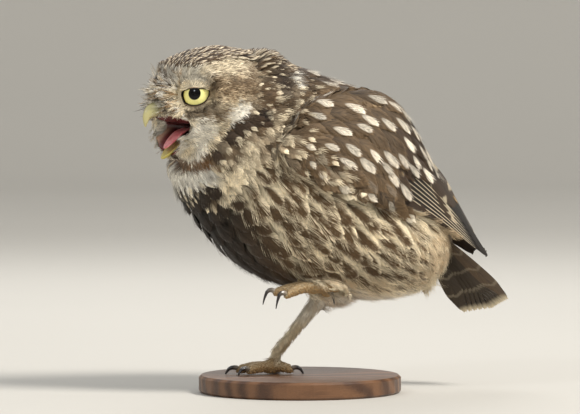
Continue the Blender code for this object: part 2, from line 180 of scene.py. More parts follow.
def grid_quads(rows: int, columns: int, wrap: bool = False) -> Array:
    """The quads of a grid of points numbered row by row, whose last column joins the first where it wraps."""
    row = np.arange(rows - 1)[:, None] * columns
    column = np.arange(columns if wrap else columns - 1)[None, :]
    after = (column + 1) % columns
    quads = np.stack([row + column, row + after, row + columns + after, row + columns + column], axis=-1)
    return quads.reshape(-1, 4)


def cap(ring: Array, tip: int) -> Array:
    """The triangles that close a ring of points with a tip."""
    return np.stack([np.full(len(ring), tip), np.roll(ring, -1), ring], axis=1)


def ring_map(rows: int, columns: int) -> Array:
    """For a grid that goes round: the way round and back, 0 to 1 to 0, and the way along, 0 to 1."""
    turn = 1 - np.abs(even_angles(columns) / math.pi - 1)
    return np.stack(np.broadcast_arrays(turn[None, :], np.linspace(0, 1, rows)[:, None]), -1).reshape(-1, 2)


def picked(faces: Array, choices: tuple[tuple[int, ...], ...]) -> Array:
    """The corners with the numbers of each choice, of every face, as rows."""
    return np.vstack([faces[:, choice] for choice in choices])


def make_mesh(name: str, points: Array, quads: Array, triangles: Array | None = None,
              maps: dict[str, Array] | None = None,
              colours: dict[str, Array] | None = None) -> bpy.types.Mesh:
    """A mesh in metres, put together from whole arrays and shaded smooth.

    Args:
        name: The mesh's name.
        points: Places in millimetres.
        quads: Four point numbers a row.
        triangles: Three point numbers a row.
        maps: For each UV map's name, two numbers for each point.
        colours: For each attribute's name, three numbers for each point.

    Returns:
        The mesh.
    """
    triangles = np.zeros((0, 3), int) if triangles is None else triangles
    corners = np.concatenate([quads.ravel(), triangles.ravel()]).astype(np.int32)
    sizes = np.concatenate([np.full(len(quads), 4), np.full(len(triangles), 3)])
    starts = np.concatenate([[0], np.cumsum(sizes)[:-1]]).astype(np.int32)
    mesh = bpy.data.meshes.new(name)
    mesh.vertices.add(len(points))
    mesh.vertices.foreach_set("co", (points * MM).astype(np.float32).ravel())
    mesh.loops.add(len(corners))
    mesh.loops.foreach_set("vertex_index", corners)
    mesh.polygons.add(len(starts))
    mesh.polygons.foreach_set("loop_start", starts)
    mesh.polygons.foreach_set("use_smooth", np.ones(len(starts), bool))
    mesh.update(calc_edges=True)
    for key, rows in (maps or {}).items():
        layer = mesh.uv_layers.new(name=key, do_init=False)
        layer.data.foreach_set("uv", rows[corners].astype(np.float32).ravel())
    for key, rows in (colours or {}).items():
        layer = mesh.attributes.new(key, "FLOAT_COLOR", "POINT")
        full = np.concatenate([rows, np.ones((len(rows), 1))], axis=1)
        layer.data.foreach_set("color", full.astype(np.float32).ravel())
    mesh.validate()
    return mesh


def add_piece(name: str, mesh: bpy.types.Mesh, material: Material,
              nodes: tuple[str, ...] = ()) -> None:
    """Links a mesh as a piece of the model and reports it.

    Args:
        name: The piece's name.
        mesh: Its mesh.
        material: Its finish.
        nodes: The CAD nodes that it stands for.
    """
    piece = bpy.data.objects.new(name, mesh)
    bpy.context.scene.collection.objects.link(piece)
    mesh.materials.append(material)
    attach(piece, BODY)
    if nodes:
        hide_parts(*nodes)
    mesh.calc_loop_triangles()
    log.info("%s: %d triangles", name, len(mesh.loop_triangles))


def pull(items: bpy.types.bpy_prop_collection, key: str, width: int, kind: type = float) -> Array:
    """One property of every item, as rows of this width."""
    flat = np.empty(len(items) * width, kind)
    items.foreach_get(key, flat)
    return flat.reshape(-1, width)


def point_normals(points: Array, triangles: Array) -> Array:
    """Each point's normal: the sum of its triangles' cross products, made one long."""
    a, b, c = (points[triangles[:, corner]] for corner in range(3))
    across = np.cross(b - a, c - a)
    total = np.zeros_like(points)
    for corner in range(3):
        for axis in range(3):
            total[:, axis] += np.bincount(triangles[:, corner], across[:, axis], len(points))
    return unit(total)


def welded(nodes: tuple[str, ...], swell: float = 0.0) -> tuple[Array, Array, Array]:
    """Some CAD nodes as one set of triangles, the points at one place of a node made one.

    Args:
        nodes: The nodes.
        swell: How far each point moves out along its normal.

    Returns:
        The points in millimetres, the triangles and, for each triangle, the number of its node in the list.
    """
    points, triangles, owner, base = [], [], [], 0
    for number, node in enumerate(nodes):
        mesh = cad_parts[node].data
        mesh.calc_loop_triangles()
        loose = pull(mesh.vertices, "co", 3) / MM
        _, first, back = np.unique(np.round(loose, 3), axis=0, return_index=True, return_inverse=True)
        own, faces = loose[first], back.reshape(-1)[pull(mesh.loop_triangles, "vertices", 3, int)]
        points.append(own + point_normals(own, faces) * swell)
        triangles.append(faces + base)
        owner.append(np.full(len(faces), number))
        base += len(own)
    return np.vstack(points), np.vstack(triangles), np.concatenate(owner)


def voxel_shell(name: str, nodes: tuple[str, ...], voxel: float, swell: float) -> tuple[Array, Array]:
    """One closed even surface round the swollen copies of several CAD nodes, whose hairline gaps close.

    The joined copies are remeshed on a lattice of cubes, and only the largest shell is kept: each point takes
    the lowest number among its neighbours until nothing changes, and the commonest number wins.

    Args:
        name: A name for the passing objects.
        nodes: The CAD nodes.
        voxel: The cubes' side in millimetres.
        swell: How far the copies grow.

    Returns:
        Points and quads.
    """
    points, triangles, _ = welded(nodes, swell)
    mesh = make_mesh(name, points, np.zeros((0, 4), int), triangles)
    lump = bpy.data.objects.new(name, mesh)
    bpy.context.scene.collection.objects.link(lump)
    remesh = lump.modifiers.new("Remesh", "REMESH")
    remesh.mode = "VOXEL"
    remesh.voxel_size = voxel * MM
    made = lump.evaluated_get(bpy.context.evaluated_depsgraph_get()).to_mesh()
    shell = pull(made.vertices, "co", 3) / MM
    quads = pull(made.loops, "vertex_index", 1, int).reshape(-1, 4)
    bpy.data.objects.remove(lump)
    bpy.data.meshes.remove(mesh)
    label, before = np.arange(len(shell)), None
    pairs = picked(quads, EDGES)
    while not np.array_equal(label, before):
        before = label
        low = np.minimum(label[pairs[:, 0]], label[pairs[:, 1]])
        label = label.copy()
        np.minimum.at(label, pairs[:, 0], low)
        np.minimum.at(label, pairs[:, 1], low)
        label = label[label]
    keep = label == np.bincount(label).argmax()
    renumber = np.cumsum(keep) - 1
    return shell[keep], renumber[quads[keep[quads[:, 0]]]]


def both_ways(quads: Array) -> Array:
    """The edges of quads, each both ways round and once."""
    pairs = picked(quads, EDGES)
    return np.unique(np.vstack([pairs, pairs[:, ::-1]]), axis=0)


def relax(values: Array, pairs: Array, rounds: int, share: float = 0.5, back: float = 0.0) -> Array:
    """Moves each point's row towards the mean of its neighbours' rows.

    Args:
        values: One row for each point.
        pairs: The two points of each edge, both ways round.
        rounds: How often.
        share: How far towards the mean each round.
        back: A step away from it that follows each, which keeps the volume.

    Returns:
        The relaxed rows.
    """
    count = np.maximum(np.bincount(pairs[:, 0], minlength=len(values)), 1)
    columns = values.reshape(len(values), -1).astype(float)
    for step in np.tile((share, -back), rounds):
        if step:
            mean = np.stack([np.bincount(pairs[:, 0], row[pairs[:, 1]], len(values)) for row in columns.T], 1)
            columns = columns + step * (mean / count[:, None] - columns)
    return columns.reshape(values.shape)


class Surface:
    """A closed surface that points are laid on, measured in millimetres."""

    def __init__(self, points: Array, triangles: Array, owner: Array | None = None) -> None:
        """Keeps points, triangles and the number of each triangle's CAD node, and sorts them for
        searching."""
        self.points, self.triangles, self.owner = points, triangles, owner
        self.normals = point_normals(points, triangles)
        self.tree = BVHTree.FromPolygons(points.tolist(), triangles.tolist())

    def _read(self, hits: list[tuple]) -> tuple[Array, Array, Array]:
        """The places found, the normals there and the triangles' numbers, -1 for a miss.

        A normal is the sum of the corners' normals, each weighted by the area opposite it.
        """
        rows = [(*hit[0], hit[2]) if hit[0] is not None else (0, 0, 0, -1) for hit in hits]
        on = np.array(rows).reshape(-1, 4)
        places, faces = on[:, :3], on[:, 3].astype(int)
        corners = self.triangles[faces]
        a, b, c = (self.points[corners[:, k]] for k in range(3))
        weights = [np.linalg.norm(np.cross(u - places, v - places), axis=1) for u,
                   v in ((b, c), (c, a), (a, b))]
        total = sum(w[:, None] * self.normals[corners[:, k]] for k, w in enumerate(weights))
        return places, unit(total + 1e-12), faces

    def nearest(self, places: Array) -> tuple[Array, Array, Array]:
        """The closest places on the surface, the normals there and the triangles' numbers."""
        return self._read([self.tree.find_nearest(place) for place in places.tolist()])

    def cast(self, starts: Array, ways: Array) -> tuple[Array, Array, Array]:
        """The first places that rays meet, the normals there and the triangles' numbers."""
        return self._read([self.tree.ray_cast(*ray) for ray in zip(starts.tolist(), ways.tolist())])


@dataclass(frozen=True)
class HeadFrame:
    """The head's own directions: forward to the bill, left, and up, from a centre between and behind the
    eyes."""

    centre: Array
    forward: Array
    left: Array
    eye_left: Array
    eye_radius: float

    @classmethod
    def from_eyes(cls) -> "HeadFrame":
        """Worked out from the boxes of the two eyeballs: left runs from the right eye to the left one."""
        back, rise = 11.9, 2.3
        balls = [np.array(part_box(f"eye_{side}")) / MM for side in SIDES]
        centres = [ball.mean(axis=0) for ball in balls]
        left = unit(unit(centres[0] - centres[1]) * (1, 1, 0))
        forward = np.cross(left, UP)
        centre = (centres[0] + centres[1]) / 2 - forward * back - (0, 0, rise)
        local = np.array([dot(centres[0] - centre, way)[0] for way in (forward, left, UP)])
        return cls(centre, forward, left, local, float(balls[0][1, 2] - balls[0][0, 2]) / 2)

    def local(self, points: Array) -> Array:
        """Row places as forward, left and up from the head's centre."""
        offset = points - self.centre
        return np.stack([offset @ self.forward, offset @ self.left, offset[..., 2]], axis=-1)

    def turned(self, ways: Array) -> Array:
        """Directions given as forward, left and up, in the row's frame."""
        return ways[..., :1] * self.forward + ways[..., 1:2] * self.left + ways[..., 2:3] * UP

    def world(self, local: Array) -> Array:
        """Places given as forward, left and up, in the row's frame."""
        return self.centre + self.turned(np.asarray(local, float))

    def nearness(self, points: Array, inner: float = 34.0, outer: float = 47.0) -> Array:
        """1 on the head, falling to 0 down the neck."""
        return ease(np.linalg.norm(points - self.centre, axis=-1), outer, inner)


class Profile:
    """The bird seen from its side as a flat chart, the same for both sides.

    Across runs from the bill to the tail, zero over the base's centre, and height starts under the base. On
    the head the chart turns with the head, and the two charts blend down the neck. """

    TURN = math.radians(15.0)

    def __init__(self, head: HeadFrame) -> None:
        """Keeps the head's frame."""
        self.head = head

    def of(self, points: Array) -> Array:
        """Across and height of each place."""
        x, y, z = points[:, 0], np.abs(points[:, 1]), points[:, 2]
        across = math.cos(self.TURN) * x + math.sin(self.TURN) * y
        body = np.stack([across, z + 0.011 * x - 0.042 * y], axis=1)
        forward, left, up = self.head.local(points).T
        left = np.abs(left)
        across = -46.9 - 0.829 * forward + 0.559 * left
        face = np.stack([across, 150.1 + up - 0.024 * forward - 0.036 * left], axis=1)
        share = self.head.nearness(points)[:, None]
        return face * share + body * (1 - share)


@dataclass(frozen=True)
class Patch:
    """A soft-edged marking on the chart: everything nearer than reach to the line from start to end."""

    start: Pair
    end: Pair
    reach: float
    colour: Hue
    strength: float = 1.0
    soft: float = 1.4

    def cover(self, chart: Array) -> Array:
        """How much of the marking each chart place has: the distance to the line, through a smooth step."""
        start, way = np.array(self.start), np.array(self.end) - np.array(self.start)
        along = np.clip((chart - start) @ way / max(float(way @ way), 1e-9), 0.0, 1.0)
        gap = np.linalg.norm(chart - start - along[:, None] * way, axis=1)
        return self.strength * (1.0 - ease(gap, self.reach - self.soft, self.reach + self.soft))


class Columns:
    """Arrays with one row for each feather."""

    def where(self, mask: Array) -> "Columns":
        """Only the feathers that the mask allows."""
        return type(self)(*(getattr(self, field.name)[mask] for field in fields(self)))


@dataclass
class Sites(Columns):
    """Places where feathers grow: points on the skin, normals, CAD node numbers, chart and head places."""

    points: Array
    normals: Array
    owner: Array
    chart: Array
    local: Array

    def on(self, *nodes: str) -> Array:
        """Which places came from these nodes."""
        return from_nodes(self.owner, nodes)

    @property
    def across(self) -> Array:
        """How far towards the tail each place lies on the chart."""
        return self.chart[:, 0]

    @property
    def high(self) -> Array:
        """How high each place lies on the chart."""
        return self.chart[:, 1]

    @property
    def forward(self) -> Array:
        """How far in front of the head's centre each place lies."""
        return self.local[:, 0]

    @property
    def up(self) -> Array:
        """How far over the head's centre each place lies."""
        return self.local[:, 2]

    def over(self, edge: Array) -> Array:
        """How far each place lies over an edge of the chart."""
        return Markings.above(self.chart, edge)

    def __len__(self) -> int:
        """How many places there are."""
        return len(self.points)


class Markings:
    """The colours of the plumage over the whole bird, the same for its skin and its feathers."""

    WING_EDGE = np.array(((-40, 140), (-16, 137), (-7, 131), (10, 121), (23, 114), (36, 109), (56, 104),
                          (71, 93), (92, 74)), float)
    FLUFF_EDGE = np.array(((30, 108), (46, 100), (57.6, 93), (80, 79), (80.5, 0)), float)
    QUILL_EDGE = np.array(((41, 99), (44, 111), (50, 118), (64, 122), (75, 119), (90, 113)), float)
    CROWN_EDGE = np.array(((-79, 158), (-75.6, 159.8), (-70, 162.4), (-64, 163.2), (-54, 163.6), (-48, 166.4),
                           (-43.7, 169.4), (-32, 170.6), (-18, 168.6), (-5, 165), (6, 160)), float)
    HEAD_PATCHES = (
        Patch((-80, 157), (-76, 162), 3.6, Hue.WHITE, 0.9),
        Patch((-72, 160.0), (-48, 160.5), 3.4, Hue.WHITE, 0.8),
        Patch((-47, 163.5), (-30, 167.5), 3.6, Hue.CREAM, 0.9),
        Patch((-73, 153), (-66, 158), 3.6, Hue.BROWN, 0.75),
        Patch((-42, 155), (-30, 156), 6.0, Hue.TAN, 0.6, 3.0),
        Patch((-24, 163), (-22, 148), 7.0, Hue.BROWN, 0.6, 4.0),
        Patch((-43, 156), (-30, 158.5), 2.2, Hue.BROWN, 0.7),
        Patch((-64, 146.5), (-55, 145.5), 3.6, Hue.CREAM, 0.8),
        Patch((-53.5, 144), (-40, 142.6), 3.6, Hue.BROWN, 0.75),
        Patch((-35, 136), (-41, 124), 6.0, Hue.BROWN, 0.9, 2.5),
        Patch((-51, 135), (-50, 127), 5.4, Hue.WHITE, 0.9, 2.5),
        Patch((-44, 126), (-50, 119), 3.4, Hue.TAN, 0.8, 2.0),
        Patch((-24, 140.5), (-36, 136.5), 4.0, Hue.DARK),
        Patch((-36, 136.5), (-44, 128), 3.2, Hue.DARK),
        Patch((-44, 128), (-49, 120), 2.6, Hue.DARK),
        Patch((-36, 142.0), (-31.5, 145.4), 3.2, Hue.WHITE),
        Patch((-35, 142), (-40, 138.4), 2.8, Hue.WHITE),
        Patch((-40, 138.4), (-47.5, 128), 2.2, Hue.CREAM),
        Patch((-64, 120), (-56, 121), 4.0, Hue.WHITE, 0.6, 2.0),
        Patch((-15, 164), (-12, 156), 4.2, Hue.DARK),
        Patch((-7, 163), (-5, 156), 2.6, Hue.WHITE, 0.96, 1.2),
    )
    BODY_PATCHES = (
        # Partly painted shade: the breast's underside is dark brown, and this patch makes it nearly black for
        # the shade that lies under it.
        Patch((-60, 96), (-22, 55), 18.0, Hue.BLACK, 0.97, 7.0),
        Patch((-64, 119), (-49, 120), 2.6, Hue.CHESTNUT, 0.9),
        Patch((-66, 112.5), (-47, 114.5), 4.2, Hue.WHITE),
        Patch((64, 66), (76, 88), 12.0, Hue.TAN, 0.5, 8.0),
        Patch((0, 46), (44, 46), 9.0, Hue.WHITE, 0.9, 4.0),
    )

    def __init__(self, profile: Profile) -> None:
        """Keeps the chart that the markings lie on."""
        self.profile = profile

    @staticmethod
    def above(chart: Array, edge: Array) -> Array:
        """How far each chart place lies over an edge that runs from point to point."""
        return chart[:, 1] - np.interp(chart[:, 0], edge[:, 0], edge[:, 1])

    def ground(self, points: Array, owner: Array) -> Array:
        """The main colour of the plumage at each place.

        Wings and back are mantle brown, the crown dark, the underside cream, and then each patch covers its
        share. Two noises shift the chart by up to 1.5 mm, so that no marking has a drawn edge.

        Args:
            points: Places on or over the skin.
            owner: The number of the node each came from.

        Returns:
            Three numbers for each place.
        """
        shift = np.stack([value_noise(points, 4.0, seed) for seed in (1, 2)], axis=1) * 3.0 - 1.5
        chart = self.profile.of(points) + shift
        on_wing = from_nodes(owner, WINGS)
        near_head = self.profile.head.nearness(points, 37.0, 43.0)
        over = ease(self.above(chart, self.WING_EDGE), -2.0, 2.0)
        colour = blend(tiled(Hue.CREAM, len(points)), Hue.MANTLE,
                       over * np.where(on_wing, 1.0, 1 - near_head))
        crown = ease(self.above(chart, self.CROWN_EDGE), -0.8, 0.8) * (chart[:, 0] < 8) * ~on_wing
        colour = blend(colour, hue(80, 62, 44), crown)
        for patches, free in ((self.HEAD_PATCHES, 1 - crown), (self.BODY_PATCHES, 1.0)):
            for patch in patches:
                colour = blend(colour, patch.colour, patch.cover(chart) * ~on_wing * free)
        quill = on_wing * ease(chart[:, 0], 42.0, 46.0) * ease(self.above(chart, self.FLUFF_EDGE), 0.0, 2.0)
        colour = blend(colour, Hue.DARK, quill)
        return blend(colour, hue(198, 168, 124), from_nodes(owner, FEET))


class Skin:
    """One seamless surface in place of the flesh nodes, sunk under them by the depth of the coat."""

    VOXEL = 0.98
    SWELL = 0.3
    DEPTHS = {"head": 1.5, "jaw": 1.3, "neck": 2.2, "trunk": 2.6, "wing_left": 1.6, "wing_right": 1.6,
              "thigh_left": 1.8, "thigh_right": 1.8, "tarsus_right": 0.9}
    FOOT_DEPTH = 0.35
    GAPE_DEPTH = 0.1
    ROOM = 0.33

    def __init__(self, head: HeadFrame, profile: Profile, markings: Markings) -> None:
        """Makes the surface: the remeshed form moved inward by the depth, which is less where the form is
        thin."""
        self.head, self.profile, self.markings = head, profile, markings
        shell, self.quads = voxel_shell("skin_form", FLESH, self.VOXEL, self.SWELL)
        pairs = both_ways(self.quads)
        shell = relax(shell, pairs, 5, 0.5, 0.46)
        triangles = picked(self.quads, HALVES)
        outer, solids = Surface(shell, triangles), Surface(*welded(FLESH))
        self.owner = solids.owner[solids.nearest(shell)[2]]
        depth = np.array([self.DEPTHS.get(node, self.FOOT_DEPTH) for node in FLESH])[self.owner]
        self.mouth = self.wet(shell)
        depth = relax(np.where(self.mouth > 0.5, self.GAPE_DEPTH, depth), pairs, 6)
        far, _, faces = outer.cast(shell - outer.normals * 0.05, -outer.normals)
        wall = np.where(faces >= 0, np.linalg.norm(far - shell, axis=1), 99.0)
        depth = relax(np.minimum(depth, wall * self.ROOM), pairs, 3)
        points = relax(shell - outer.normals * (depth + self.SWELL)[:, None], pairs, 3, 0.5, 0.46)
        self.surface = Surface(points, triangles, self.owner[triangles[:, 0]])

    def wet(self, points: Array) -> Array:
        """1 inside the open mouth, 0 on the feathers.

        The mouth lies between a palate line and a floor line, seen from the side, and no wider than its
        corners. Both lines move forward beside the bill, as the cheeks recede. """
        forward, left, up = self.head.local(points).T
        ahead = forward - np.maximum(np.abs(left) - 7.0, 0.0) * 1.07
        palate = np.interp(ahead, (11, 16.5, 21, 27, 48), (-12.4, -12.2, -8.9, -8.4, -8.4))
        floor = np.interp(ahead, (11, 16.5, 51), (-15.2, -18.0, -60.0))
        inside = np.minimum(palate + 1.2 - up, up - floor + 1.2)
        inside = np.minimum(inside, np.minimum(ahead - 9.8, 12.6 - np.abs(left)))
        return ease(inside, -0.4, 0.4)

    def sites(self, points: Array, normals: Array, faces: Array) -> Sites:
        """Feather places for points on the surface."""
        owner = self.surface.owner[faces]
        return Sites(points, normals, owner, self.profile.of(points), self.head.local(points))

    def scatter(self, nodes: tuple[str, ...], spacing: float, seed: int) -> Sites:
        """Evenly mixed places: random ones, of which each that stays drops all that are nearer than spacing.

        Args:
            nodes: The nodes whose stretch of skin is covered.
            spacing: The least distance between two places.
            seed: The draw's seed.

        Returns:
            The places.
        """
        crowd = 5.0
        corners = self.surface.points[self.surface.triangles[from_nodes(self.surface.owner, nodes)]]
        start, one, two = corners.transpose(1, 0, 2)
        area = np.linalg.norm(np.cross(one - start, two - start), axis=1) / 2
        draw = rng(seed)
        count = int(area.sum() / spacing**2 * crowd)
        pick = np.searchsorted(np.cumsum(area), draw.random(count) * area.sum()).clip(0, len(area) - 1)
        u, v = draw.random((2, count, 1))
        over = u + v > 1
        u, v = np.where(over, 1 - u, u), np.where(over, 1 - v, v)
        places = start[pick] * (1 - u - v) + one[pick] * u + two[pick] * v
        tree = KDTree(count)
        for number, place in enumerate(places.tolist()):
            tree.insert(place, number)
        tree.balance()
        kept, free = [], np.ones(count, bool)
        for number, place in enumerate(places.tolist()):
            if free[number]:
                kept.append(number)
                free[[hit[1] for hit in tree.find_range(place, spacing)]] = False
        return self.sites(*self.surface.nearest(places[kept]))

    def piece(self) -> None:
        """Adds the skin, coloured as the coat over it but darker, as painted shade between the feathers, and
        dark red inside the mouth, darkest towards the throat as painted shade.
        """
        # Painted shade: the skin shows only between the feathers, so it takes three quarters of the coat's
        # ground.
        colour = self.markings.ground(self.surface.points, self.owner) * 0.75
        count = len(colour)
        forward, left, up = self.head.local(self.surface.points).T
        left = np.abs(left)
        lip = ease(left, 9.0, 12.0) * ease(up, -13.0, -16.0)
        lining = blend(tiled(hue(104, 48, 48), count), hue(206, 168, 144), lip)
        # Painted shade: the lining turns nearly black towards the back of the mouth, where shade falls into
        # the throat.
        lining = blend(tiled(hue(58, 16, 18), count), lining, ease(forward, 12.0, 22.0))
        beside = ease(left, 19.0, 17.0) * ease(forward, 12.0, 15.0) * ease(up, -7.0, -9.0) * ease(up, -25.0,
            -22.0)
        colour = blend(colour, hue(232, 226, 214), beside * ease(left, 8.0, 11.0))
        colour = blend(colour, lining, self.mouth)
        trait = np.stack([self.mouth, from_nodes(self.owner, FEET), np.zeros(count)], axis=1)
        mesh = make_mesh("skin", self.surface.points, self.quads, colours={"ground": colour, "trait": trait})
        add_piece("skin", mesh, SkinFinish("skin").material(), FLESH)


@dataclass(frozen=True)
class Spine:
    """A line in the upright middle plane that feathers follow, with the station reached and the way there."""

    knots: tuple[Pair, ...]
    samples: int = 48

    def line(self) -> Array:
        """The places on the line, as x and z."""
        return through(np.array(self.knots, float), self.samples)

    def at(self, points: Array) -> tuple[Array, Array]:
        """The station, 0 to 1, of the place on the line that is nearest in the middle plane, and the way
        there."""
        line = self.line()
        gap = (points[:, None, 0] - line[:, 0]) ** 2 + (points[:, None, 2] - line[:, 1]) ** 2
        place = gap.argmin(axis=1)
        slope = unit(np.gradient(line, axis=0))[place]
        return place / (self.samples - 1), np.stack([slope[:, 0], np.zeros(len(points)), slope[:, 1]], axis=1)


class Lie:
    """The way that feathers lie at each place, along the skin."""

    BODY = Spine(((-50, 152), (-40, 141), (-28, 129), (-10, 116), (15, 99), (42, 84), (66, 74), (86, 68)))
    FLANK = Spine(((-50, 152), (-40, 141), (-28, 129), (-12, 114), (5, 98), (22, 82), (40, 65), (60, 47)))
    WING = Spine(((-30, 152), (-10, 149), (12, 143), (28, 133), (40, 119), (51, 103), (64, 86), (78, 70),
                  (94, 54)))
    BILL = np.array((25.0, 0.0, -9.0))
    DROOP = np.array((0.0, 0.0, -0.25))

    def __init__(self, head: HeadFrame) -> None:
        """Keeps the head's frame."""
        self.head = head

    def face_ways(self, local: Array) -> Array:
        """Directions on the head, as forward, left and up, for places given so.

        They run away from the bill everywhere, and away from the eye round it. Round the eye the second
        counts most in front of it, where the bristles sweep over the bill, less below and behind it, and
        least above it, where the brow's feathers run backward. """
        mirror = np.where(local[:, 1:2] < 0, -1.0, 1.0) * (0, 1, 0) + np.array((1.0, 0, 1.0))
        folded = local * mirror
        eye = self.head.eye_left * (1.45, 1.45, 1.2)
        from_eye, from_bill = folded - eye, unit(folded - self.BILL)
        gap = np.linalg.norm(from_eye, axis=1)
        sector = unit(from_eye)
        ahead = ease(sector[:, 0], 0.0, 0.7)
        over = ease(sector[:, 2], 0.2, 0.8)
        reach = 12.0 + 12.0 * ahead
        share = ease(gap, reach, reach * 0.4) * (0.75 + 0.25 * ahead) * (1 - 0.8 * over * (1 - ahead))
        lores = ahead * ease(folded[:, 2], -9.0, -3.0) * ease(folded[:, 2], 15.0, 9.0)
        share = np.maximum(share, lores * ease(folded[:, 0], 15.0, 19.0))[:, None]
        return (sector * share + from_bill * (1 - share) + self.DROOP * (1 - share)) * mirror

    def way(self, points: Array, normals: Array, above: Array, wing: Array) -> Array:
        """The lie at each place.

        Args:
            points: Places.
            normals: The skin's normals there.
            above: Each one's share of the back's lie.
            wing: Which of them belong to a wing, where the head has no say.

        Returns:
            Directions of length one that lie in the skin.
        """
        body = blend(self.FLANK.at(points)[1], self.WING.at(points)[1], above)
        face = unit(self.head.turned(self.face_ways(self.head.local(points))))
        share = np.where(wing, 0.0, self.head.nearness(points, 33.0, 45.0))[:, None]
        ways = body * (1 - share) + face * share
        return unit(ways - normals * dot(ways, normals))


@dataclass(frozen=True)
class Shape:
    """A feather's flat pattern: for each point its place across, in half widths, its place along, in lengths,
    how far across the markings take it to be, and its rise, in widths."""

    across: Array
    along: Array
    mark: Array
    rise: Array
    quads: Array
    triangles: Array

    @classmethod
    def vane(cls, columns: int, rows: int, belly: float = 0.55, foot: float = 0.35, bow: float = 0.2,
             fray: float = 0.05, camber: float = 0.10) -> "Shape":
        """A closed vane.

        Its half width grows as a quarter sine until the belly and falls to the tip as the root of 1 - x^2.2.
        The rows bow back as a flat ellipse, odd columns end fray shorter, and it arches by camber * (1 -
        s^2).

        Args:
            columns: Faces across.
            rows: Faces along.
            belly: Where it is widest.
            foot: Its share of the width at the root.
            bow: How round the tip is.
            fray: How ragged the tip is.
            camber: How high the middle stands.

        Returns:
            The pattern.
        """
        s = np.linspace(-1, 1, columns + 1)[None, :]
        t = (np.linspace(0, 1, rows + 1)[:, None]) ** 0.85
        grow = foot + (1 - foot) * np.sin(np.clip(t / belly, 0, 1) * math.pi / 2)
        fall = np.sqrt(np.clip(1 - np.clip((t - belly) / (1 - belly), 0, 1) ** 2.2 * 0.72, 0, 1))
        ragged = np.where(np.arange(columns + 1) % 2 == 1, 1.0, 0.0)[None, :] - 0.5
        along = t * (1 - 1.4 * bow * (1 - np.sqrt(1 - 0.94 * s**2)) * t**2) + ragged * fray * t**4
        rise = camber * (1 - s**2) * np.sin(np.clip(t, 0, 1) * math.pi * 0.8 + 0.3)
        flat = [np.broadcast_to(rows, along.shape).ravel() for rows in (s * grow * fall, along, s, rise)]
        return cls(*flat, grid_quads(*along.shape), np.zeros((0, 3), int))

    @classmethod
    def lock(cls, blades: int, thin: float, fan: float = 1.0, start: float = 0.35, seed: int = 0,
             curl: float = 0.12) -> "Shape":
        """A tuft of narrow blades that spread from the middle line.

        Blade j leaves the middle at a share of start and ends fan * s_j to the side, at 1 - 0.25 s_j^2 along.
        Each is three cells long and narrows to a point.

        Args:
            blades: How many.
            thin: A blade's half width, in half widths of the tuft.
            fan: How far the outer ones spread.
            start: How far up the tuft the last of them leaves the middle.
            seed: Seed of the small differences between blades.
            curl: How much the tips bend.

        Returns:
            The pattern.
        """
        draw = rng(seed + 900)
        side = np.linspace(-1, 1, blades) + draw.uniform(-0.5, 0.5, blades) / blades
        u = np.array((0.0, 0.38, 0.72, 1.0))[None, :]
        root = start * (1 - np.abs(side)) * draw.uniform(0.6, 1.0, blades)
        end = 1 - 0.25 * side**2 + draw.uniform(-0.08, 0.03, blades)
        along = root[:, None] + (end - root)[:, None] * u
        middle = side[:, None] * fan * u**0.8 + draw.uniform(-curl, curl, (blades, 1)) * u**2
        lift = draw.uniform(-0.05, 0.22, (blades, 1)) * u
        along, mark, rise = (np.concatenate([np.repeat(rows[:, :3], 2, axis=1), rows[:, 3:]], axis=1)
                             for rows in (along, middle, lift))
        across = mark + thin * np.array((-0.8, 0.8, -1.0, 1.0, -0.8, 0.8, 0.0))
        base = np.arange(blades)[:, None, None] * 7
        quads = (base + np.array(((0, 1, 3, 2), (2, 3, 5, 4)))).reshape(-1, 4)
        triangles = (base + np.array(((4, 5, 6),))).reshape(-1, 3)
        return cls(across.ravel(), along.ravel(), mark.ravel(), rise.ravel(), quads, triangles)


class Unwrap:
    """The skin's own unwrap for the baked maps: stations along the body by the angle round it, and the head
    and the feet as globes of their own, each in its own part of the square."""

    HEAD = (0.02, 0.66, 0.32, 0.32)
    BODY = (0.36, 0.02, 0.62, 0.96)
    FOOT = ((0.02, 0.34, 0.30, 0.28), (0.02, 0.02, 0.30, 0.28))
    PATCH = 0.003

    def __init__(self) -> None:
        """Finds the feet."""
        self.feet = [np.array(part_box(f"foot_{side}")).mean(axis=0) / MM for side in SIDES]

    @staticmethod
    def globe(offset: Array, part: tuple[float, float, float, float]) -> Array:
        """Longitude and latitude of each offset, fitted to a part of the square."""
        away = unit(offset)
        longitude = np.arctan2(away[:, 1], away[:, 0]) / (2 * math.pi) + 0.5
        latitude = np.arcsin(np.clip(away[:, 2], -1, 1)) / math.pi + 0.5
        return np.stack([part[0] + part[2] * longitude, part[1] + part[3] * latitude], axis=1)

    def of(self, sites: Sites) -> Array:
        """Each root's place on the unwrap."""
        station, way = Lie.BODY.at(sites.points)
        line = Lie.BODY.line()[(station * (Lie.BODY.samples - 1)).round().astype(int)]
        offset = sites.points - np.stack([line[:, 0], 0 * line[:, 0], line[:, 1]], 1)
        over = offset[:, 0] * -way[:, 2] + offset[:, 2] * way[:, 0]
        angle = np.arctan2(sites.points[:, 1], over) / (2 * math.pi) + 0.5
        run = np.clip(0.08 + 0.84 * station + dot(offset, way)[:, 0] / 400.0, 0, 1)
        place = np.stack([self.BODY[0] + self.BODY[2] * angle, self.BODY[1] + self.BODY[3] * run], axis=1)
        place = np.where(sites.on("head", "jaw")[:, None], self.globe(sites.local, self.HEAD), place)
        for side, centre, part in zip(SIDES, self.feet, self.FOOT):
            foot = sites.on(*(node for node in FEET if side in node))
            place = np.where(foot[:, None], self.globe(sites.points - centre, part), place)
        return place


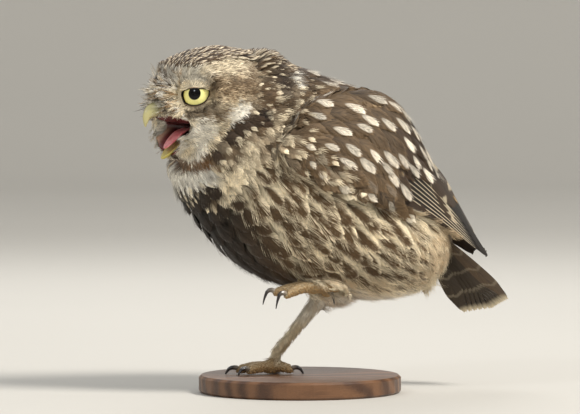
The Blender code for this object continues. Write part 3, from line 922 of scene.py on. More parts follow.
@dataclass
class Paint(Columns):
    """The colours of a tract's feathers: the main one, the marking's, and each one's marking strength and
    shade."""

    ground: Array
    mark: Array
    strength: Array
    shade: Array

    @classmethod
    def of(cls, ground: Array, mark: Hue | Colour | Array, strength: float | Array,
           shade: float | Array = 1.0) -> "Paint":
        """Colours whose marking, strength or shade may be one for all."""
        count = len(ground)
        mark = mark if isinstance(mark, Array) else tiled(mark, count)
        return cls(ground, mark, np.zeros(count) + strength, np.zeros(count) + shade)


@dataclass(frozen=True)
class Tract:
    """A kind of feather: its pattern, its sizes in millimetres and how it sits.

    Low and high ends are given for the length and the width, heights over the skin for root and tip, and the
    share of the tip that stands free of the skin. Splay is in degrees.
    """

    name: str
    shape: Shape
    length: Pair
    width: Pair
    height: Pair
    splay: float = 8.0
    free: float = 0.0
    steps: int = 5
    wrap: bool = True
    slot: str = "plumage"


class Coat:
    """Lays feathers over the skin and joins each tract to one piece. An edge bends by FOLD millimetres at
    most."""

    FOLD = 1.6

    def __init__(self, skin: Skin) -> None:
        """Keeps what feathers are laid on."""
        self.skin = skin
        self.lie, self.unwrap = Lie(skin.head), Unwrap()
        self.triangles = 0

    def ground(self, sites: Sites) -> Array:
        """The markings' main colour at each root."""
        return self.skin.markings.ground(sites.points, sites.owner)

    def paint(self, sites: Sites, mark: Hue | Colour | Array, seed: int, ground: Array | None = None,
              vary: float = 0.12, strength: Pair = (0.8, 1.0), rare: float = 0.0) -> Paint:
        """A tract's colours: the markings' ground at each root and one marking colour, each feather a little
        lighter or darker, and a share of them without the marking.

        Args:
            sites: The roots.
            mark: The marking's colour, or one for each site.
            seed: The draw's seed.
            ground: Colours in place of the markings' own.
            vary: How far single feathers differ in brightness.
            strength: Low and high end of the marking's strength.
            rare: Share of the feathers that lack it.

        Returns:
            The colours.
        """
        draw = rng(seed + 50)
        count = len(sites)
        ground = self.ground(sites) if ground is None else ground
        power = draw.uniform(*strength, count) * (draw.random(count) >= rare)
        return Paint.of(ground, mark, power, 1.0 + draw.normal(0, vary, count))

    def lay(self, tract: Tract, sites: Sites, paint: Paint, material: Material, seed: int,
            ways: Array | None = None, scale: Array | float = 1.0, widen: Array | float = 1.0,
            lift: Array | float = 0.0) -> None:
        """Plants one feather at each site.

        A feather's middle line walks from its root in equal steps along the lie, turned by the feather's
        splay, and is set to its height over the skin. The pattern hangs across it, its edges brought to the
        same height by the square of their distance from the middle.

        Args:
            tract: The kind of feather.
            sites: The roots.
            paint: Their colours.
            material: The finish.
            seed: Seed of the sizes and turns.
            ways: Fixed directions in place of the lie.
            scale: A factor on each feather's length and width.
            widen: A further factor on its width.
            lift: How much farther each tip stands off the skin, in millimetres.
        """
        surface, draw = self.skin.surface, rng(seed)
        count, steps, shape = len(sites), tract.steps, tract.shape
        length = draw.uniform(*tract.length, count) * scale
        width = draw.uniform(*tract.width, count) * scale * widen
        turn = np.radians(draw.normal(0, tract.splay, count))[:, None]
        jitter = draw.uniform(0.85, 1.15, count)[:, None]
        above = ease(sites.over(Markings.WING_EDGE), -5.0, 2.0)
        wing = sites.on(*WINGS)
        stride = (length / steps)[:, None]
        place, normal = sites.points, sites.normals
        loose = place.copy()

        def height(part: Array | float) -> Array:
            """How high each feather stands over the skin, this share of the way from its root."""
            rise = (tract.height[0] + (tract.height[1] - tract.height[0]) * part) * jitter
            return rise + np.reshape(lift, (-1, 1)) * part**0.7

        line, normals, headings = [], [], []
        for step in range(steps + 1):
            lie = self.lie.way(place, normal, above, wing) if ways is None else ways
            lie = unit(lie - normal * dot(lie, normal))
            way = unit(lie * np.cos(turn) + np.cross(normal, lie) * np.sin(turn))
            part = step / steps
            up = unit(sites.normals * tract.free + normal * (1 - tract.free))
            line.append(place + up * height(part) + (loose - place) * tract.free * part ** (1 - tract.free))
            normals.append(normal)
            headings.append(way)
            if step < steps:
                loose = loose + unit(headings[0] * 0.5 + way * 0.5) * stride if tract.free else loose
                place, normal, _ = surface.nearest(place + way * stride)
        line, normals, headings = (np.stack(rows, axis=1) for rows in (line, normals, headings))
        if steps > 1:
            headings = unit(np.gradient(line, axis=1))
        sideways = unit(np.cross(headings, normals))
        half = (width / 2)[:, None, None]
        edges = np.zeros((2, count, steps + 1, 3))
        if tract.wrap:
            parts = np.linspace(0, 1, steps + 1)[None, :]
            high = height(parts)
            for number, sign in enumerate((-1.0, 1.0)):
                rim = line + sideways * half * sign
                near, out, _ = surface.nearest(rim.reshape(-1, 3))
                edges[number] = (near + out * high.reshape(-1, 1)).reshape(rim.shape) - rim
            edges *= np.minimum(1, self.FOLD / np.maximum(np.linalg.norm(edges, axis=-1, keepdims=True),
                1e-9))
            edges *= 1 - tract.free * parts[..., None]
        place = np.clip(shape.along, 0, 1) * steps
        index = np.minimum(place.astype(int), steps - 1)
        part = (place - index)[None, :, None]

        def between(rows: Array) -> Array:
            """Rows at the pattern's own places along the feather."""
            return rows[:, index] * (1 - part) + rows[:, index + 1] * part

        side = np.where(shape.across < 0, 0, 1)
        near, far = (edges[side, :, index + ahead].transpose(1, 0, 2) for ahead in (0, 1))
        bend = near * (1 - part) + far * part
        across = shape.across[None, :, None]
        past = np.maximum(shape.along - 1, 0)[None, :, None] * length[:, None, None]
        points = (between(line) + between(sideways) * across * half + bend * np.minimum(across**2, 1.0)
                  + between(normals) * shape.rise[None, :, None] * half * 2 + between(headings) * past)
        self.join(tract.name, points, shape, sites, paint, material, draw, tract.slot)

    def join(self, name: str, points: Array, shape: Shape, roots: Sites, paint: Paint, material: Material,
             draw: np.random.Generator, slot: str = "plumage", nodes: tuple[str, ...] = (),
             shift: Array | float = 0.0) -> None:
        """Joins laid feathers to one piece, with their two maps and their colours.

        Args:
            name: The piece's name.
            points: For each feather, the places of the pattern's points.
            shape: The pattern.
            roots: Where the feathers stand.
            paint: Their colours.
            material: The finish.
            draw: Source of each feather's chance number.
            slot: Not used.
            nodes: CAD nodes that the piece stands for.
            shift: How far each feather is moved on the unwrap.
        """
        count, size = points.shape[:2]
        offset = (np.arange(count) * size)[:, None, None]
        quads = (offset + shape.quads[None]).reshape(-1, 4)
        triangles = (offset + shape.triangles[None]).reshape(-1, 3)
        own = np.stack([shape.mark / 2 + 0.5, shape.along], axis=1)
        spread = (np.clip(own, 0, 1) - 0.5) * Unwrap.PATCH
        baked = ((self.unwrap.of(roots) + shift)[:, None, :] + spread[None]).reshape(-1, 2)
        traits = {"ground": paint.ground, "mark": paint.mark,
                  "trait": np.stack([draw.random(count), paint.strength, paint.shade], axis=1)}
        mesh = make_mesh(name, points.reshape(-1, 3), quads, triangles,
                         {"OFBake": baked, "vane": np.tile(own, (count, 1))},
                         {key: np.repeat(rows, size, axis=0) for key, rows in traits.items()})
        add_piece(name, mesh, material, nodes)
        self.triangles += count * (2 * len(shape.quads) + len(shape.triangles))


def math_node(operation: str, turned: bool = False) -> Callable[..., "Sock"]:
    """A method that adds a Math node on the socket and another value, which comes first where turned."""

    def method(self: "Sock", *others: "Sock | float") -> "Sock":
        """The node's value."""
        values = (*others, self) if turned else (self, *others)
        return self.tree.node("ShaderNodeMath", {"operation": operation}, dict(enumerate(values)))

    return method


class Sock:
    """One output of a shader node, on which plain arithmetic adds Math nodes."""

    __add__, __radd__ = math_node("ADD"), math_node("ADD", True)
    __sub__, __rsub__ = math_node("SUBTRACT"), math_node("SUBTRACT", True)
    __mul__, __rmul__ = math_node("MULTIPLY"), math_node("MULTIPLY", True)
    __truediv__, __pow__, __abs__ = math_node("DIVIDE"), math_node("POWER"), math_node("ABSOLUTE")
    sine = math_node("SINE")

    def __init__(self, tree: "Tree", link: bpy.types.NodeSocket) -> None:
        """Keeps the socket and the tree it is in."""
        self.tree, self.link = tree, link

    def eased(self, low: "Sock | float", high: "Sock | float") -> "Sock":
        """Smooth step: 0 at low, 1 at high."""
        return self.tree.node("ShaderNodeMapRange", {"interpolation_type": "SMOOTHSTEP"},
                              {"Value": self, "From Min": low, "From Max": high})


class Tree:
    """A material's node tree around one Principled shader."""

    def __init__(self, name: str) -> None:
        """A new material with its shader and its output."""
        self.material = bpy.data.materials.new(name)
        self.material.use_nodes = True
        self.nodes, self.links = self.material.node_tree.nodes, self.material.node_tree.links
        self.shader = self.nodes["Principled BSDF"]

    def put(self, socket: bpy.types.NodeSocket, value: Sock | Colour | float) -> None:
        """Links or sets an input, a colour with its fourth number."""
        if isinstance(value, Sock):
            self.links.new(value.link, socket)
        else:
            socket.default_value = (*value, 1.0) if isinstance(value, tuple) else value

    def node(self, kind: str, settings: dict[str, object] | None = None,
             values: dict[str | int, Sock | Colour | float] | None = None, output: int | str = 0) -> Sock:
        """Adds a node: its settings first, and then its sockets.

        Args:
            kind: The node's type.
            settings: Its own properties.
            values: For each socket, by name or number, a number, a colour or a link.
            output: The output wanted.

        Returns:
            That output.
        """
        made = self.nodes.new(kind)
        for key, value in (settings or {}).items():
            setattr(made, key, value)
        for key, value in (values or {}).items():
            self.put(made.inputs[key], value)
        return Sock(self, made.outputs[output])

    def mix(self, one: Sock | Colour, two: Sock | Colour, factor: Sock | float) -> Sock:
        """Two colours mixed by a factor."""
        return self.node("ShaderNodeMix", {"data_type": "RGBA"}, {0: factor, 6: one, 7: two}, 2)

    def scaled(self, colour: Sock, factor: Sock | float) -> Sock:
        """A colour made brighter or darker."""
        return self.node("ShaderNodeVectorMath", {"operation": "SCALE"}, {0: colour, "Scale": factor})

    def place(self, x: Sock | float, y: Sock | float, z: Sock | float = 0.0) -> Sock:
        """Three numbers as one vector."""
        return self.node("ShaderNodeCombineXYZ", None, {0: x, 1: y, 2: z})

    def noise(self, vector: Sock, scale: float, detail: float = 2.0, roughness: float = 0.5) -> Sock:
        """A noise's value from 0 to 1 at a vector."""
        values = {"Vector": vector, "Scale": scale, "Detail": detail, "Roughness": roughness}
        return self.node("ShaderNodeTexNoise", None, values)

    def parts(self, vector: Sock) -> tuple[Sock, Sock, Sock]:
        """A vector's or colour's three numbers."""
        made = self.nodes.new("ShaderNodeSeparateXYZ")
        self.put(made.inputs[0], vector)
        return tuple(Sock(self, made.outputs[number]) for number in range(3))

    def attribute(self, name: str) -> Sock:
        """A colour attribute of the piece."""
        return self.node("ShaderNodeAttribute", {"attribute_name": name})

    def own_map(self, name: str) -> tuple[Sock, Sock]:
        """The two numbers of one of the piece's maps."""
        return self.parts(self.node("ShaderNodeUVMap", {"uv_map": name}))[:2]

    def object_place(self) -> Sock:
        """The place in the piece's own frame, in metres."""
        return self.node("ShaderNodeTexCoord", output="Object")

    def finish(self, colour: Sock, bump: Sock | None, height: float, roughness: Sock | float,
               **constants: float) -> Material:
        """Connects the shader and gives the material.

        Args:
            colour: Base colour.
            bump: Heights from 0 to 1.
            height: How many metres the bump's full height is.
            roughness: Number or link.
            constants: Values of the shader's other sockets, by name with _ for a space.

        Returns:
            The material.
        """
        values = {"Base_Color": colour, "Roughness": roughness, **constants}
        if bump is not None:
            values["Normal"] = self.node("ShaderNodeBump", None,
                                         {"Height": bump, "Distance": height, "Strength": 1.0})
        for key, value in values.items():
            self.put(self.shader.inputs[key.replace("_", " ")], value)
        return self.material


class Pattern(Enum):
    """How a feather is marked."""

    SPOT = "one pale oval near the tip"
    STREAK = "a streak along the middle that widens towards the tip"
    TIP = "another colour towards the tip"
    BARS = "pale bars across"
    EDGE = "a thin pale stripe along one edge"
    NOTCH = "pale notches in both edges"


@dataclass(frozen=True)
class FeatherFinish:
    """Feathers: a ground colour and a marking from the piece's attributes, fine barbs and a shaft.

    Centre is the marking's place along the feather, reach its half length, breadth its half width in half
    widths of the feather, contrast how much the barbs vary in brightness, depth how much darker the root is
    as painted shade under the feather before it, barbs how fine they are, and fringe how much lighter the
    feather's edge is.
    """

    name: str
    pattern: Pattern
    centre: float = 0.7
    reach: float = 0.2
    breadth: float = 0.4
    contrast: float = 1.5
    wobble: float = 0.5
    roughness: float = 0.62
    shaft: float = 0.2
    tip: float = 0.0
    depth: float = 0.3

    barbs: float = 12.0
    fringe: float = 0.0
    slant: float = 0.27

    BARB_HEIGHT = 0.00012

    def material(self) -> Material:
        """The material.

        Barbs leave the shaft at a slant, so the number (t - |s| * slant) * barbs stays the same along a barb,
        and a noise that runs quickly along that number and slowly along s draws streaks that follow the
        barbs. """
        tree = Tree(self.name)
        u, t = tree.own_map("vane")
        s = u * 2.0 - 1.0
        chance, strength, shade = tree.parts(tree.attribute("trait"))
        side = abs(s)
        barb = (t - side * self.slant) * self.barbs
        streak = tree.noise(tree.place(barb, s * 0.8 + chance * 31.0, chance * 57.0), 1.6, 3.0, 0.6)
        ground, mark = tree.attribute("ground"), tree.attribute("mark")
        cover = self._cover(s, t, side, (streak - 0.5) * self.wobble, chance, strength)
        colour = tree.mix(ground, mark, cover)
        if self.tip:
            colour = tree.mix(colour, mark, t.eased(0.9, 1.0) * self.tip)
        light = (streak - 0.5) * self.contrast + shade
        # Painted shade: each feather's root, which lies under the feather before it, is darkened by up to
        # depth.
        light = light * (t.eased(0.1, 0.75) * self.depth + (1.0 - self.depth))
        if self.fringe:
            light = light + (side.eased(0.55, 1.0) + t.eased(0.86, 1.0)) * t.eased(0.4, 0.8) * self.fringe
        if self.shaft:
            light = light - side.eased(0.10, 0.03) * self.shaft * t.eased(1.0, 0.7)
        return tree.finish(tree.scaled(colour, light), streak, self.BARB_HEIGHT, self.roughness,
                           Specular_IOR_Level=0.25, Sheen_Weight=0.12, Sheen_Roughness=0.5)

    def _cover(self, s: Sock, t: Sock, side: Sock, ragged: Sock, chance: Sock, strength: Sock) -> Sock:
        """How much of the marking each place has, 0 to 1, for each pattern.

        SPOT is an egg round (a small side step, centre) that narrows and fades towards the root; STREAK a
        band whose half width grows along the feather and with the strength, and stops at centre + reach; TIP
        a step at centre; BARS a sine along t; EDGE a band at s = -1; NOTCH a sine along t that fades away
        from both edges. """
        if self.pattern is Pattern.SPOT:
            size = chance * 0.4 + 0.8
            along = (t - self.centre) / (size * self.reach)
            across = (s - (chance - 0.5) * 0.3) / ((along * 0.28 + 1.0) * size * self.breadth)
            fade = along.eased(-1.1, 0.2) * 0.4 + 0.6
            return (across * across + along * along + ragged).eased(1.35, 0.65) * strength * fade
        if self.pattern is Pattern.STREAK:
            wide = (t.eased(0.0, self.centre) * self.breadth + 0.1) * strength
            inside, end = (side + ragged * 0.5 - wide).eased(0.2, -0.2), self.centre + self.reach
            return inside * (t + ragged * 0.3 - strength * 0.1).eased(end + 0.02, end - 0.2)
        if self.pattern is Pattern.TIP:
            return (t + ragged).eased(self.centre - self.reach, self.centre + self.reach) * strength
        if self.pattern is Pattern.BARS:
            wave = (t * (2 * math.pi / self.reach) + side * 1.2 + ragged).sine()
            return wave.eased(self.breadth, self.breadth + 0.35) * strength
        if self.pattern is Pattern.NOTCH:
            wave = (t * (2 * math.pi / self.reach) + ragged * 2.0).sine()
            return (wave + side * 1.1 - 0.9).eased(0.35, 0.75) * strength
        return (s + ragged * 0.15).eased(-1.0 + self.breadth, -1.0 + self.breadth * 0.55) * strength


@dataclass(frozen=True)
class SkinFinish:
    """Skin: the coat's colours, darker as painted shade between the feathers, wet in the mouth and scaly on
    the feet."""

    name: str

    def material(self) -> Material:
        """The material, with small bumps from a cell pattern."""
        tree = Tree(self.name)
        wet, foot, _ = tree.parts(tree.attribute("trait"))
        where = tree.object_place()
        grain = tree.noise(where, 900.0, 3.0)
        cells = tree.node("ShaderNodeTexVoronoi", {"feature": "F1"}, {"Vector": where, "Scale": 1100.0})
        colour = tree.scaled(tree.attribute("ground"), grain * 0.5 + 0.75 - cells * foot * 0.5)
        return tree.finish(colour, grain * 0.5 - cells * foot, 0.0003, 0.75 - wet * 0.5,
                           Specular_IOR_Level=0.4)


@dataclass(frozen=True)
class HornFinish:
    """Horn of the bill and the claws: one colour at the root, another at the tip, along the map "run"."""

    name: str
    root: Colour
    tip: Colour
    turn: Pair = (0.2, 0.6)
    grain: float = 0.3

    def material(self) -> Material:
        """The material: a gradient with lengthwise growth lines, under a thin gloss."""
        tree = Tree(self.name)
        around, along = tree.own_map("run")
        lines = tree.noise(tree.place(around * 14.0, along * 3.0), 2.0, 3.0)
        blend = (along + (lines - 0.5) * 0.15).eased(*self.turn)
        colour = tree.scaled(tree.mix(self.root, self.tip, blend), (lines - 0.5) * self.grain + 1.0)
        return tree.finish(colour, lines, 0.00008, lines * 0.2 + 0.22, Coat_Weight=0.35, Coat_Roughness=0.15)


@dataclass(frozen=True)
class FleshFinish:
    """Wet flesh of the tongue and the mouth's lining."""

    name: str
    colour: Colour
    deep: Colour

    def material(self) -> Material:
        """The material: two reds mixed by a soft noise, with fine warts and a wet coat."""
        tree = Tree(self.name)
        where = tree.object_place()
        cloud = tree.noise(where, 320.0, 3.0)
        warts = tree.noise(where, 2400.0, 2.0)
        colour = tree.mix(self.deep, self.colour, cloud.eased(0.3, 0.6))
        return tree.finish(colour, warts, 0.0001, 0.3, Coat_Weight=0.6, Coat_Roughness=0.1,
                           Subsurface_Weight=0.1, Subsurface_Scale=0.001)


@dataclass(frozen=True)
class EyeFinish:
    """The eye: black pupil, lemon iris with fine fibres, dark rim, all under a clear gloss. In the map "iris"
    the way from the middle is the angle from the axis, in two widest angles."""

    name: str
    pupil: float
    iris: float
    widest: float
    yellow: Colour = hue(250, 243, 158)
    rim: Colour = hue(214, 194, 82)

    def material(self) -> Material:
        """The material. Fibres are a noise that runs quickly round the axis and slowly away from it."""
        tree = Tree(self.name)
        u, v = tree.own_map("iris")
        one, two = (u - 0.5) * (2.0 * self.widest), (v - 0.5) * (2.0 * self.widest)
        gap = (one * one + two * two + 1e-6) ** 0.5
        fibre = tree.noise(tree.place(one / gap * 7.0, two / gap * 7.0, gap * 2.0), 2.0, 4.0, 0.65)
        iris = tree.mix(self.yellow, self.rim, (gap + (fibre - 0.5) * 0.2).eased(self.iris * 0.86,
            self.iris * 1.02))
        iris = tree.scaled(iris, (fibre - 0.5) * 0.3 + 1.1)
        pale = tree.mix(iris, hue(250, 244, 170), gap.eased(self.pupil * 1.35, self.pupil * 1.0) * 0.7)
        colour = tree.mix(hue(2, 2, 3), pale, gap.eased(self.pupil - 0.02, self.pupil + 0.015))
        colour = tree.mix(colour, hue(12, 9, 7), gap.eased(self.iris - 0.03, self.iris + 0.02))
        return tree.finish(colour, None, 0.0, 0.05, Coat_Weight=0.3, Coat_Roughness=0.0,
                           Specular_IOR_Level=0.12)


@dataclass(frozen=True)
class LidFinish:
    """The eyelid: black edge with a tan serrated upper border, then feathered skin. The map "run" gives the
    angle round the eye and the way outward."""

    name: str
    black: float = 0.42

    def material(self) -> Material:
        """The material: the black band's outer edge is moved by a wave round the eye."""
        tree = Tree(self.name)
        around, out = tree.own_map("run")
        teeth = (around * (2 * math.pi * 46.0)).sine() * 0.012
        ragged = tree.noise(tree.object_place(), 1500.0, 2.0)
        edge = out + teeth + (ragged - 0.5) * 0.12 - around.eased(0.86, 1.0) * 0.25
        skin = tree.mix(hue(176, 148, 116), hue(84, 68, 52), abs(around - 0.96).eased(0.16, 0.06))
        colour = tree.mix(hue(14, 11, 9), skin, edge.eased(self.black, self.black + 0.07))
        return tree.finish(colour, ragged, 0.0001, 0.45, Specular_IOR_Level=0.4)


@dataclass(frozen=True)
class WoodFinish:
    """Dark satin wood of the base, its rings round a far centre."""

    name: str
    pale: Colour = hue(118, 82, 54)
    dark: Colour = hue(70, 44, 28)

    def material(self) -> Material:
        """The material: rings are a sine of the distance from a far axis, bent by noise, with pores along
        them."""
        tree = Tree(self.name)
        where = tree.object_place()
        x, y, z = tree.parts(where)
        bend = tree.noise(tree.place(x * 9.0, y * 28.0, z * 28.0), 1.0, 3.0)
        far = (y * 1000.0 + 190.0 + bend * 34.0) * (y * 1000.0 + 190.0 + bend * 34.0) + z * z * 1000000.0
        rings = (far ** 0.5 * 0.62).sine()
        pores = tree.noise(tree.place(x * 120.0, y * 1800.0, z * 1800.0), 1.0, 3.0, 0.7)
        blend = rings * 0.35 + 0.5 + (pores - 0.5) * 0.9
        colour = tree.mix(self.dark, self.pale, blend.eased(0.0, 1.0))
        return tree.finish(colour, pores, 0.00012, pores * 0.25 + 0.3, Coat_Weight=0.15, Coat_Roughness=0.2)


@dataclass(frozen=True)
class FloorFinish:
    """The plain pale floor."""

    name: str
    colour: Colour

    def material(self) -> Material:
        """The material, with a faint cloud."""
        tree = Tree(self.name)
        cloud = tree.noise(tree.object_place(), 3.0, 2.0)
        return tree.finish(tree.scaled(tree.mix(self.colour, self.colour, 0.0), cloud * 0.04 + 0.98), None,
                           0.0, 0.9)


@dataclass(frozen=True)
class Eye:
    """One eyeball with its lids."""

    head: HeadFrame
    skin: Skin
    side: str

    AXIS, GAZE = np.array((0.84, 0.54, 0.03)), np.array((0.79, 0.61, 0.13))
    PUPIL, IRIS, WIDEST = 0.38, 0.90, math.pi
    HALF_WIDTH, TOP, BOTTOM = 7.1, 3.0, 4.9
    LID_COLUMNS, LID_ROWS = 96, 14

    def mirror(self) -> Array:
        """The factor that turns the left side's places into this side's."""
        return np.array((1.0, 1.0 if self.side == "left" else -1.0, 1.0))

    def ways(self, axis: Array = AXIS) -> tuple[Array, Array, Array]:
        """Out along the axis, backward across it and up it, for the left side."""
        out = unit(axis)
        up = unit(UP - out * out[2])
        return out, -np.cross(out, up), up

    def placed(self, local: Array) -> Array:
        """Left-side places round the ball's centre, in the row's frame and on this side."""
        return self.head.world((local + self.head.eye_left) * self.mirror())

    def sided(self, quads: Array) -> Array:
        """Faces with their order turned on the mirrored side."""
        return quads if self.side == "left" else quads[:, ::-1]

    def ball(self) -> None:
        """The eyeball: a globe round the axis whose front swells by a bell curve, as the cornea does."""
        rows, columns, swell = 40, 72, 0.35
        out, back, up = self.ways(self.GAZE)
        away = np.linspace(0.02, math.pi - 0.02, rows)[:, None]
        angle = even_angles(columns)[None, :]
        radius = self.head.eye_radius + swell * np.exp(-(away / 0.55) ** 2)
        across = radius * np.sin(away)
        parts = (radius * np.cos(away) + 0 * angle, across * np.cos(angle), across * np.sin(angle))
        points = sum(part[..., None] * way for part, way in zip(parts, (out, back, up))).reshape(-1, 3)
        round_it = np.stack([np.cos(angle), np.sin(angle)], axis=-1)
        flat = (0.5 + (away / self.WIDEST / 2)[..., None] * round_it).reshape(-1, 2)
        tips = np.array((points[:columns].mean(axis=0), points[-columns:].mean(axis=0)))
        points = np.vstack([points, tips])
        flat = np.vstack([flat, [(0.5, 0.5), (1.0, 0.5)]])
        quads = grid_quads(rows, columns, wrap=True)[:, ::-1]
        ring, tip = np.arange(columns), rows * columns
        caps = np.vstack([cap(ring[::-1], tip), cap(ring + tip - columns, tip + 1)])
        mesh = make_mesh(f"eyeball_{self.side}", self.placed(points), self.sided(quads), self.sided(caps),
                         {"iris": flat})
        finish = EyeFinish(f"eye_{self.side}", self.PUPIL, self.IRIS, self.WIDEST)
        add_piece(f"eyeball_{self.side}", mesh, finish.material(), (f"eye_{self.side}",))

    def opening(self, angle: Array) -> Array:
        """The opening between the lids: x = half width * cos, and y a flat arch above and a bowl below the
        line from corner to corner."""
        x = self.HALF_WIDTH * np.cos(angle)
        corner = 0.3 + 0.10 * x
        rise = np.abs(np.sin(angle))
        above = corner + (self.TOP + 0.07 * x - corner) * rise**0.45
        below = corner - (self.BOTTOM + corner) * rise**0.95
        return np.stack([x, np.where(np.sin(angle) >= 0, above, below)], axis=-1)

    def lid_grid(self) -> Array:
        """Both lids as one ring: from under the edge on the ball, over a rounded rim and out to the face's
        skin.

        Returns:
            Places in rows from the edge outward, each once round the eye, in the row's frame.
        """
        columns, rows, reach = self.LID_COLUMNS, self.LID_ROWS, 2.4
        out, back, up = self.ways()
        edge = self.opening(even_angles(columns))
        away = unit(edge)
        knots = []
        for step, lift in ((0.0, -0.15), (0.08, 0.35), (0.35, 0.70), (0.8, 0.66), (1.3, 0.42)):
            flat = edge + away * step
            radius = self.head.eye_radius + lift
            depth = np.sqrt(np.maximum(radius**2 - (flat**2).sum(axis=1), 12.0))
            knots.append(out * depth[:, None] + back * flat[:, :1] + up * flat[:, 1:])
        far = knots[-1] + (back * away[:, :1] + up * away[:, 1:]) * reach - out * 0.8
        skin, normal, _ = self.skin.surface.nearest(self.placed(far))
        sunk = self.head.local(skin - normal * 0.35) * self.mirror() - self.head.eye_left
        knots += [(knots[-1] + sunk) / 2 - out * 0.1, sunk]
        points = through(np.stack(knots).reshape(len(knots), -1), rows).reshape(-1, 3)
        return self.placed(points).reshape(rows, columns, 3)

    def lid_sites(self) -> Sites:
        """Where the lids' own small feathers stand: on their outer half, facing away from the ball's
        middle."""
        ring = np.tile(self.lid_grid()[7:14], (1, 3, 1))
        draw = rng(46)
        ring = ring[:-1] + (ring[1:] - ring[:-1]) * draw.random((len(ring) - 1, ring.shape[1], 1))
        points = ring.reshape(-1, 3)
        owner = np.full(len(points), FLESH.index("head"))
        return Sites(points, unit(points - self.placed(np.zeros((1, 3)))), owner,
                     self.skin.profile.of(points), self.head.local(points))

    def lid_ways(self, lid: Sites) -> Array:
        """From each lid site away from the eye, down or up to just over the skin four millimetres on."""
        offset = lid.local * self.mirror() - self.head.eye_left
        offset -= self.ways()[0] * dot(offset, self.ways()[0])
        goal = lid.points + self.head.turned(unit(offset) * self.mirror()) * 4.2
        near, normal, _ = self.skin.surface.nearest(goal)
        ahead = ease(-dot(unit(offset), self.ways()[1]), 0.3, 0.9)
        return unit(near + normal * (1.1 + 1.5 * ahead) - lid.points)

    def lids(self) -> None:
        """Adds the lids."""
        columns, rows = self.LID_COLUMNS, self.LID_ROWS
        points = self.lid_grid().reshape(-1, 3)
        quads = grid_quads(rows, columns, wrap=True)[:, ::-1]
        mesh = make_mesh(f"eyelids_{self.side}", points, self.sided(quads),
                         maps={"run": ring_map(rows, columns)})
        add_piece(f"eyelids_{self.side}", mesh, LidFinish(f"eyelid_{self.side}").material())

    def covers(self, local: Array, room: float = 1.3) -> Array:
        """Which head places lie in the opening or under the ball, where no feather grows."""
        out, back, up = self.ways()
        offset = local * self.mirror() - self.head.eye_left
        x, y = offset @ back, offset @ up
        middle = (self.TOP - self.BOTTOM) / 2
        high = (self.TOP + self.BOTTOM) / 2 + room
        flat = (x / (self.HALF_WIDTH + room)) ** 2 + ((y - middle) / high) ** 2
        in_front = (flat < 1) & (offset @ out > 0)
        return in_front | (np.linalg.norm(offset, axis=1) < self.head.eye_radius - 0.3)


@dataclass(frozen=True)
class Horn:
    """A tapering body along a curve in the head's middle plane.

    Each section is forward, up, half width and half height. The ring across a section is an ellipse whose
    upper half narrows by ridge * cos, and whose middle sags by sag * (1 - sin^2) half widths.
    """

    name: str
    sections: tuple[tuple[float, float, float, float], ...]
    ridge: float = 0.0
    sag: float = 0.0
    rows: int = 30
    around: int = 32

    def piece(self, head: HeadFrame, material: Material, slot: str) -> None:
        """Builds the body and adds it in place of its CAD node."""
        run = through(np.array(self.sections, float), self.rows)
        way = unit(np.gradient(run[:, :2], axis=0))
        over = np.stack([-way[:, 1], way[:, 0]], axis=1)
        angle = even_angles(self.around)
        sine, cosine = np.sin(angle)[None, :], np.cos(angle)[None, :]
        aside = run[:, 2:3] * sine * (1 - self.ridge * np.maximum(cosine, 0))
        high = run[:, 3:4] * cosine - self.sag * run[:, 2:3] * (1 - sine**2)
        local = np.stack([run[:, 0:1] + over[:, 0:1] * high, aside, run[:, 1:2] + over[:, 1:2] * high],
                         axis=-1)
        points = np.vstack([local.reshape(-1, 3), local[0].mean(axis=0), local[-1].mean(axis=0)])
        flat = np.vstack([ring_map(self.rows, self.around), (0.5, 0.0), (0.5, 1.0)])
        quads = grid_quads(self.rows, self.around, wrap=True)
        ring, tip = np.arange(self.around), self.rows * self.around
        caps = np.vstack([cap(ring, tip), cap((ring + tip - self.around)[::-1], tip + 1)])
        points = head.world(points)
        middle = points[:-2].reshape(self.rows, self.around, 3)[self.rows // 2]
        outward = point_normals(points, picked(quads, HALVES))
        first = self.rows // 2 * self.around
        if np.sum((middle - middle.mean(axis=0)) * outward[first:first + self.around]) < 0:
            quads, caps = quads[:, ::-1], caps[:, ::-1]
        mesh = make_mesh(self.name, points, quads, caps, {"run": flat})
        add_piece(f"{self.name}_horn", mesh, material, (self.name,))


